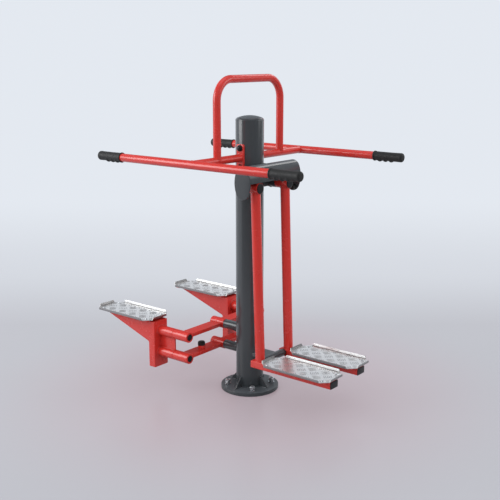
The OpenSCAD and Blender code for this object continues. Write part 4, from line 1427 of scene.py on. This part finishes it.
@dataclass
class Leg:
    """One swinging leg: hub, tube, foot bar, cap and plug, with its tread plate."""

    side: Side
    y: float = LEG_Y
    pivot_z: float = LEG_PIVOT
    hub_rear: float = 84.85
    hub_front: float = 157.85
    hub_r: float = 28
    hub_bore: float = 23.5
    tube_r: float = 24
    wall: float = 3
    top_x: float = 129.85
    foot_x: float = 161
    foot_top: float = 211
    foot_low: float = 176
    bar_rear: float = 124
    bar_front: float = 596
    bar_half: float = 30
    bar_corner: float = 3.5
    plug_t: float = 4
    plate_x: float = 411

    def build(self) -> None:
        """Builds and places every piece of the leg."""
        word, body = self.side.word, f"{self.side.word}_leg"
        pieces = (("swing_hub", self.hub(), Finish.RED_PAINT, "leg_hub"),
                  ("shin", self.shin(), Finish.RED_PAINT, "leg_tube"),
                  ("foot_beam", self.beam(), Finish.RED_PAINT, "foot_bar"),
                  ("hub_cap", self.cap(), Finish.BLACK_PLASTIC, "pivot_cap"),
                  ("end_plug", self.plug(), Finish.BLACK_PLASTIC, "foot_plug"))
        for name, shape, finish, node in pieces:
            place(f"{word}_{name}", shape.on(self.side), finish, body, f"{word}_{node}")
        place(f"{word}_leg_seams", self.seams().on(self.side), Finish.RED_PAINT, body)
        tread = Tread(self.plate_x, self.side.value * self.y, self.foot_top + PLATE_LIFT)
        tread.build(f"{word}_foot", body, f"{word}_foot_plate", f"{word}_foot_screws")

    def centre_x(self, z: Array) -> Array:
        """X of the leaning tube's middle at a height."""
        lean = (self.top_x - self.foot_x) / (self.pivot_z - self.foot_top)
        return self.foot_x + lean * (z - self.foot_top)

    def under_hub(self, y: Array) -> Array:
        """Height of the hub's underside at y from its axis: pivot - sqrt(hub_r^2 - y^2)."""
        return self.pivot_z - np.sqrt(self.hub_r**2 - y**2)

    def hub(self) -> Shape:
        """The hub, with softened rims."""
        ring = tube(self.hub_rear, self.hub_front, self.hub_r, self.hub_bore, 1.2, 72)
        return ring.along_x().moved(y=self.y, z=self.pivot_z)

    def shin(self) -> Shape:
        """The leaning tube, its top cut to the hub's underside."""
        rings = []
        for r in (self.tube_r, self.tube_r - self.wall):
            x, y = circle(r, 72).T
            levels = (self.foot_top - 0.5 + 0 * y, self.under_hub(y))
            rings.append([np.stack([self.centre_x(z) + x, self.y + y, z], axis=1) for z in levels])
        outer, inner = rings
        return skin(np.stack(outer + inner[::-1]), loop=True)

    def beam(self) -> Shape:
        """The foot bar and the two straps on it."""
        beam = bar((self.bar_rear, self.y - self.bar_half, self.foot_low),
                   (self.bar_front, self.y + self.bar_half, self.foot_top), self.bar_corner, 1.4)
        return beam + Straps().at(self.plate_x, self.y, self.foot_top - 0.2)

    def cap(self) -> Shape:
        """The moulded cap on the hub's front: a flange with a round edge and a slightly domed face."""
        neck, flange = self.hub_bore - 0.4, self.hub_bore + 2
        corners = [(0, -8), (neck, -8), (neck, 0), (flange, 0), (flange, 2.6), (flange - 4, 4), (0, 4)]
        profile = soften(corners, [0, 0.5, 0, 0.4, 1.6, 4, 0], 5, closed=False)
        return revolve(profile, 64).along_x().moved(self.hub_front, self.y, self.pivot_z)

    def plug(self) -> Shape:
        """The moulded plug in the open end of the foot bar."""
        low = (self.bar_front, self.y - self.bar_half, self.foot_low)
        high = (self.bar_front + self.plug_t, self.y + self.bar_half, self.foot_top)
        return bar(low, high, self.bar_corner, 1.3)

    def seams(self) -> Shape:
        """Weld seams between the hub, the tube and the foot bar."""
        r = self.tube_r + 0.2
        x, y = circle(r, 160).T
        z = self.under_hub(y)
        high = bead(np.stack([self.centre_x(z) + x, self.y + y, z], axis=1),
                    np.stack([x / r, y / r, -0.6 + 0 * x], axis=1), 2.6)
        foot = round_seam(self.tube_r, 2.8).moved(self.foot_x, self.y, self.foot_top)
        under_straps = Straps().seams(self.plate_x, self.y, self.foot_top + 0.3, self.bar_half - 3)
        return together([high, foot, under_straps])


# STEPPER


@dataclass
class AxleTubes:
    """The two grey tubes that carry the rockers' axles."""

    radius: float = 24
    bore: float = 12.52
    front: float = 60
    rear: float = -161.85
    levels: Pair = ROCKER_LEVELS
    post_r: float = POST_FACE

    def build(self) -> None:
        """Builds and places the tubes with their seams at the post."""
        place("axle_housings", together([self.one(z) for z in self.levels]), Finish.GREY_PAINT, "frame",
              "step_axle_tubes")

    def one(self, z: float) -> Shape:
        """A tube from inside the post to the rocker, with a seam where it leaves the post.

        The seam lies at x = -sqrt(post_r^2 - y^2) on the tube's round.

        Args:
            z: height of its axis.

        Returns:
            The tube and its seam.
        """
        body = tube(self.front, -self.rear, self.radius, self.bore, 1.0).along_x(-1)
        y, rise = circle(self.radius, 150).T
        path = np.stack([-np.sqrt(self.post_r**2 - y**2) - SEAM_LIFT, y, rise], axis=1)
        out = np.stack([-0.6 + 0 * y, y / self.radius, rise / self.radius], axis=1)
        return (body + bead(path, out, 2.8)).moved(z=z)


@dataclass
class Rocker:
    """One level of the stepper: three hubs on two flat arms, plugs, and the lower level's bump stops."""

    level: float
    word: str
    hub_r: float = 26
    bore: float = 14.05
    mid: Pair = (-249.85, -162.85)
    end: Pair = (-249.85, -151.85)
    step_y: float = STEP_Y
    arm_x: float = -200.85
    arm_w: float = 66
    arm_t: float = 20
    arm_sunk: float = 5
    pad_r: float = 19
    pad_h: float = 16
    bump_y: float = 149
    bump_h: float = 21

    def build(self) -> None:
        """Builds and places every piece of the rocker."""
        body = f"{self.word}_rocker"
        parts = [self.hub(*self.mid), both(self.hub(*self.end).moved(y=self.step_y)), both(self.arm())]
        if self.word == "lower":
            here = (self.arm_x, self.bump_y, self.level + self.arm_t / 2)
            pad = knob(-1, self.pad_h, self.pad_r, 0.8) + round_seam(self.pad_r, 2)
            parts.append(both(pad.moved(*here)))
            bump = knob(self.pad_h, self.pad_h + self.bump_h, self.pad_r, 0.6, 10)
            place("bumps", both(bump.moved(*here)), Finish.BLACK_RUBBER, body, "bump_stops")
        place(f"{self.word}_rocking_beam", together(parts), Finish.RED_PAINT, body, body)
        place(f"{self.word}_end_plugs", self.plugs(), Finish.BLACK_PLASTIC, body, f"{self.word}_hub_plugs")

    def hub(self, rear: float, front: float) -> Shape:
        """A hub from rear to front."""
        return tube(rear, front, self.hub_r, self.bore, 1.2).along_x().moved(z=self.level)

    def arm(self) -> Shape:
        """A flat arm with round edges between the middle hub and an outer hub, and its seams."""
        low, high = self.hub_r - self.arm_sunk, self.step_y - self.hub_r + self.arm_sunk
        x0, x1 = self.arm_x - self.arm_w / 2, self.arm_x + self.arm_w / 2
        z0, z1 = self.level - self.arm_t / 2, self.level + self.arm_t / 2
        outline = soften([(x0, z0), (x1, z0), (x1, z1), (x0, z1)], 3, 4)
        parts = [slab(outline, low, high, 0.2).stood_up()]
        reach = math.sqrt(self.hub_r**2 - (self.arm_t / 2) ** 2) + 0.6
        for y, s in ((reach, 1), (self.step_y - reach, -1)):
            for z, t in ((z0 - 0.4, -1), (z1 + 0.4, 1)):
                parts.append(straight_seam((x0 + 2, y, z), (x1 - 2, y, z), (0, s, t), 3))
        return together(parts)

    def plugs(self) -> Shape:
        """Black plugs in the hubs' open ends, each with a shallow dished face."""
        r = self.bore - 0.05
        corners = [(0, -7), (r, -7), (r, 0), (r + 3, 0), (r + 2.4, 1.5), (r - 1, 1.5), (r - 3, 0.7), (0, 0.7)]
        one = revolve(soften(corners, [0, 0.4, 0, 0.2, 0.4, 0.6, 0.6, 0], 3, closed=False), 48)
        middle = one.along_x(-1).moved(self.mid[0], 0, self.level)
        outer = one.along_x().moved(self.end[1], self.step_y, self.level)
        return together([middle, both(outer)])


@dataclass
class Step:
    """One step: its upright, hub stubs, bracket and tread plate."""

    side: Side
    y: float = STEP_Y
    column: Pair = (-394.85, -353.85)
    foot: float = 117
    top: float = 359.5
    half_w: float = 47.5
    wall: float = 4
    bracket_end: float = -734.85
    bracket_tip: float = -701.85
    bracket_low: float = 250.5
    top_t: float = 6
    levels: Pair = ROCKER_LEVELS
    hub_r: float = 26
    stub_front: float = -250.85
    stub_bore: float = 12.6
    web_t: float = 8
    web_sunk: float = 11
    plate_x: float = -559.85

    def build(self) -> None:
        """Builds and places every piece of the step."""
        word, body = self.side.word, f"{self.side.word}_step"
        place(f"{word}_upright", self.upright().on(self.side), Finish.RED_PAINT, body, f"{word}_step_frame")
        tread = Tread(self.plate_x, self.side.value * self.y, self.top + PLATE_LIFT)
        tread.build(f"{word}_step", body, f"{word}_step_plate", f"{word}_step_screws")

    def cheek(self) -> Shape:
        """One side of the upright and of its bracket, cut from a single plate and rounded on the outside."""
        rear, front = self.column
        outline = soften([(rear, self.foot), (front, self.foot), (front, self.top),
                          (self.bracket_end, self.top), (self.bracket_end, self.top - self.top_t),
                          (self.bracket_tip, self.top - self.top_t), (rear, self.bracket_low)],
                         [2.8, 2.8, 2.8, 0, 0, 6, 8], 4)
        plate = slab(outline, 0, self.wall, 2.2, 0.05, 4)
        return plate.stood_up()

    def upright(self) -> Shape:
        """The box upright between its cheeks, with the stubs, the web, the top plate and the straps."""
        rear, front = self.column
        inner, low, high = self.half_w - self.wall, *self.levels
        parts = [both(self.cheek().moved(y=inner)),
                 box((rear, -inner, self.foot), (front, inner, self.top - 0.3), 0.3),
                 box((self.bracket_end, -inner, self.top - self.top_t), (rear + 1, inner, self.top), 0.3)]
        for z in self.levels:
            stub = tube(front - 2, self.stub_front, self.hub_r, self.stub_bore, 1.2)
            parts.append((stub + round_seam(self.hub_r, 2.8).moved(z=front)).along_x().moved(z=z))
        web_y, web_end = self.web_t / 2, self.hub_r - self.web_sunk
        web = box((front - 2, -web_y, low + web_end), (self.stub_front, web_y, high - web_end), 0.8, 1.2)
        parts.append(web)
        aside, reach = web_y + 0.6, self.hub_r - 0.8
        for z, t in ((low + reach, 1), (high - reach, -1)):
            for s in (-1, 1):
                start, end = (front + 3, s * aside, z), (self.stub_front - 2, s * aside, z)
                parts.append(straight_seam(start, end, (0, s, -t), 2.2))
        return together(parts + [Straps().at(self.plate_x, 0, self.top - 0.2)]).moved(y=self.y)


# PACKED NODES THAT STAY


@dataclass
class KeptNodes:
    """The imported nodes: each gets its finish, and the bare grey plates get softened edges."""

    frame: dict
    soft_edges: dict[str, float] = field(default_factory=lambda: {"base_plate": 1.6, "hood_neck": 1.2})

    def finish_for(self, name: str) -> Finish:
        """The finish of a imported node.

        Args:
            name: the node's name.

        Returns:
            Grey paint for the bare plates, bronze for bushes and zinc for all other metal.
        """
        if name in self.soft_edges:
            return Finish.GREY_PAINT
        if name.endswith("_bushes"):
            return Finish.BUSH
        return Finish.ZINC

    def dress(self) -> None:
        """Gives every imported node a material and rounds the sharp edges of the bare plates."""
        for name, node in self.frame["nodes"].items():
            node.data.materials.clear()
            finish = self.finish_for(name)
            node.data.materials.append(material_of(finish))
            if name in self.soft_edges and not node.hide_render:
                self.round_edges(node, self.soft_edges[name])
                LOG.info("%s: kept, edges rounded by %.1f mm", name, self.soft_edges[name])

    @staticmethod
    def round_edges(node: bpy.types.Object, width: float) -> None:
        """Welds the node's loose triangles, joins its flat faces and bevels what is left.

        Args:
            node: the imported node.
            width: width of the bevels.
        """
        node.modifiers.new("weld", "WELD").merge_threshold = 0.00001
        flat = node.modifiers.new("flat", "DECIMATE")
        flat.decimate_type, flat.angle_limit = "DISSOLVE", math.radians(1)
        bevel = node.modifiers.new("round", "BEVEL")
        bevel.width, bevel.segments = width * MM, 3
        bevel.limit_method, bevel.angle_limit = "ANGLE", math.radians(35)
        bevel.harden_normals = True


# STUDIO


@dataclass(frozen=True)
class Lamp:
    """A square soft lamp, with its place and width in metres and its power in watts."""

    name: str
    at: Triple
    width: float
    power: float

    def build(self, aim: Triple) -> None:
        """Hangs the lamp.

        Args:
            aim: the point that it is turned towards.
        """
        data = bpy.data.lights.new(self.name, "AREA")
        data.size, data.energy = self.width, self.power
        lamp = bpy.data.objects.new(self.name, data)
        lamp.location = self.at
        lamp.rotation_mode = "QUATERNION"
        lamp.rotation_quaternion = (Vector(aim) - Vector(self.at)).to_track_quat("-Z", "Y")
        bpy.context.scene.collection.objects.link(lamp)


@dataclass
class Studio:
    """A pale floor that passes into a pale wall behind the machine, soft lamps, and the photograph's camera.

    The camera and mirror rays see the backdrop's colour, which lights nothing. Mirror rays see it only on one
    side and overhead, and a dark room on the other side. Places and distances are in metres.

    Attributes:
        focal: the camera's focal length on a sensor 36 mm wide.
        azimuth: degrees that the camera looks to the left of +Y.
        pitch: degrees that it looks down.
        eye: its place.
        floor_colour: the floor under the machine.
        near_glow: a painted pink reflection of the red machine, the floor's glow beside it.
        low_backdrop: its colour further out.
        backdrop: the wall.
        dark_side: what mirror rays see on the dark side.
        bright_from: the direction of the bright side.
        daylight: colour of the world's even light.
        daylight_strength: its strength.
        glow_share: share of the glow, there a painted pink reflection, that the camera sees near the machine.
        aim: where the lamps point.
        lamps: the lamps.
    """

    focal: float = 61.75
    azimuth: float = 38.91
    pitch: float = 12.89
    eye: Triple = (2.6469, -3.2770, 1.6928)
    floor_colour: Triple = (0.31, 0.30, 0.318)
    near_glow: Triple = (0.73, 0.55, 0.61)
    low_backdrop: Triple = (0.65, 0.675, 0.73)
    backdrop: Triple = (0.775, 0.815, 0.875)
    dark_side: Triple = (0.16, 0.16, 0.17)
    bright_from: Triple = (-0.882, 0.471, 0.0)
    daylight: Triple = (0.93, 0.96, 1.0)
    daylight_strength: float = 1.38
    glow_share: float = 0.33
    aim: Triple = (0, 0, 0.8)
    lamps: tuple[Lamp, ...] = (Lamp("key", (-3.06, -3.5, 2.65), 2.8, 100),
                               Lamp("fill", (3.2, 2.4, 2.6), 2.0, 22),
                               Lamp("back", (-0.25, 3.8, 4.0), 1.4, 15))

    def build(self) -> None:
        """Sets up the floor, the world, the lamps and the camera."""
        self.floor()
        self.world()
        for lamp in self.lamps:
            lamp.build(self.aim)
        self.camera()
        bpy.context.scene.view_settings.view_transform = "Standard"

    def floor(self, radius: float = 400000, top: float = -0.5, bottom: float = -60) -> None:
        """The floor: a very wide disc that only stages the machine.

        Args:
            radius: its radius in millimetres.
            top: height of its upper face in millimetres.
            bottom: height of its lower face in millimetres.
        """
        rings = np.stack([np.append(circle(r, 96), np.full((96, 1), z), axis=1)
                          for r, z in ((radius, bottom), (radius, top), (0, top))])
        shape = skin(rings)
        mesh = bpy.data.meshes.new("floor")
        mesh.from_pydata((shape.points * MM).tolist(), [], shape.faces)
        mesh.materials.append(self.floor_paint())
        floor = bpy.data.objects.new("floor", mesh)
        bpy.context.scene.collection.objects.link(floor)

    def floor_paint(self) -> bpy.types.Material:
        """The floor's paint: a faint gloss near the machine, and the backdrop's own light further out.

        With b the distance behind the machine and r the distance from it, the backdrop's share is the larger
        of the steps of b from 0.2 to 2.4 and of r from 2.2 to 6.5, or from 1.2 to 3 for mirror rays. The
        camera sees at least glow_share of it. Its colour passes from a painted pink reflection beside the
        machine to low_backdrop with r and on to backdrop with b, or with r far out on the other sides.
        """
        bench = NodeBench("floor")
        clean = bench.cloudy(self.floor_colour, bench.noise(scale=0.4, detail=1), (0.985, 1.015))
        bench.wire("Base Color", clean)
        bench.steady(Roughness=0.30, Specular_IOR_Level=0.3)
        turn = math.radians(self.azimuth)
        behind = bench.along(bench.place, (-math.sin(turn), math.cos(turn), 0))
        away = bench.node("ShaderNodeVectorMath", {0: bench.place}, operation="LENGTH").outputs["Value"]
        path = bench.node("ShaderNodeLightPath").outputs
        seen, mirrored = path["Is Camera Ray"], path["Is Glossy Ray"]

        # Beside the machine the floor's glow is a painted pink reflection of the red machine.
        low = bench.tint(bench.ramp(away, 0.5, 1.5), self.near_glow, self.low_backdrop)
        high = bench.larger(bench.ramp(behind, 1.0, 6.0), bench.ramp(away, 6.0, 16.0))
        unlit = bench.times(mirrored, bench.ramp(bench.along(bench.place, self.bright_from), 0.4, -0.4))
        colour = bench.tint(unlit, bench.tint(high, low, self.backdrop), self.dark_side)
        glow = bench.node("ShaderNodeEmission", {"Color": colour})

        wide = bench.larger(bench.ramp(away, 2.2, 6.5), bench.times(mirrored, bench.ramp(away, 1.2, 3.0)))
        far = bench.larger(bench.ramp(behind, 0.2, 2.4), wide)
        share = bench.times(far, bench.larger(seen, mirrored))
        share = bench.larger(share, bench.times(seen, self.glow_share))
        mix = bench.node("ShaderNodeMixShader", {0: share, 1: bench.shader.outputs[0], 2: glow.outputs[0]})
        bench.tree.links.new(mix.outputs[0], bench.tree.nodes["Material Output"].inputs["Surface"])
        return bench.material

    def world(self) -> None:
        """Even pale light, the wall's colour for the camera, and the two-sided room for mirror rays.

        With h the upward part of the ray, the bright side fades out from h = 0.42 to 0.62, and the roof comes
        in from 0.80 to 0.95.
        """
        world = bpy.data.worlds.new("studio")
        bpy.context.scene.world = world
        world.use_nodes = True
        world.node_tree.nodes.clear()
        sky = Wiring(world.node_tree)
        way = sky.node("ShaderNodeTexCoord").outputs["Generated"]
        rise = sky.along(way, UP)
        side = sky.times(sky.ramp(sky.along(way, self.bright_from), -0.06, 0.10), sky.ramp(rise, 0.62, 0.42))
        bright = sky.larger(side, sky.ramp(rise, 0.80, 0.95))
        room = sky.node("ShaderNodeBackground", {"Color": sky.tint(bright, self.dark_side, self.backdrop)})
        even = {"Color": (*self.daylight, 1), "Strength": self.daylight_strength}
        light = sky.node("ShaderNodeBackground", even)
        wall = sky.node("ShaderNodeBackground", {"Color": (*self.backdrop, 1)})
        path = sky.node("ShaderNodeLightPath").outputs
        mirrored = sky.larger(path["Is Glossy Ray"], path["Is Transmission Ray"])
        last = light
        for share, shader in ((mirrored, room), (path["Is Camera Ray"], wall)):
            last = sky.node("ShaderNodeMixShader", {0: share, 1: last.outputs[0], 2: shader.outputs[0]})
        output = sky.node("ShaderNodeOutputWorld", {"Surface": last.outputs[0]})
        output.is_active_output = True

    def camera(self) -> None:
        """The camera, level and at the photograph's place."""
        data = bpy.data.cameras.new("camera")
        data.lens, data.sensor_width = self.focal, 36
        data.clip_start, data.clip_end = 0.1, 200
        a, e = math.radians(self.azimuth), math.radians(self.pitch)
        right = Vector((math.cos(a), math.sin(a), 0))
        forward = Vector((-math.sin(a) * math.cos(e), math.cos(a) * math.cos(e), -math.sin(e)))
        turn = Matrix((right, right.cross(forward), -forward)).transposed()
        camera = bpy.data.objects.new("camera", data)
        camera.matrix_world = Matrix.Translation(self.eye) @ turn.to_4x4()
        bpy.context.scene.collection.objects.link(camera)
        bpy.context.scene.camera = camera


def main() -> None:
    """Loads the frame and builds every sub-assembly."""
    logging.basicConfig(level=logging.INFO, format="%(message)s")
    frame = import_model()
    Post().build()
    Handles().build()
    Head().build()
    InnerStop().build()
    for side in Side:
        Leg(side).build()
    AxleTubes().build()
    low, high = ROCKER_LEVELS
    Rocker(high, "upper").build()
    Rocker(low, "lower").build()
    for side in Side:
        Step(side).build()
    KeptNodes(frame).dress()
    Studio().build()


if __name__ == "__main__":
    main()
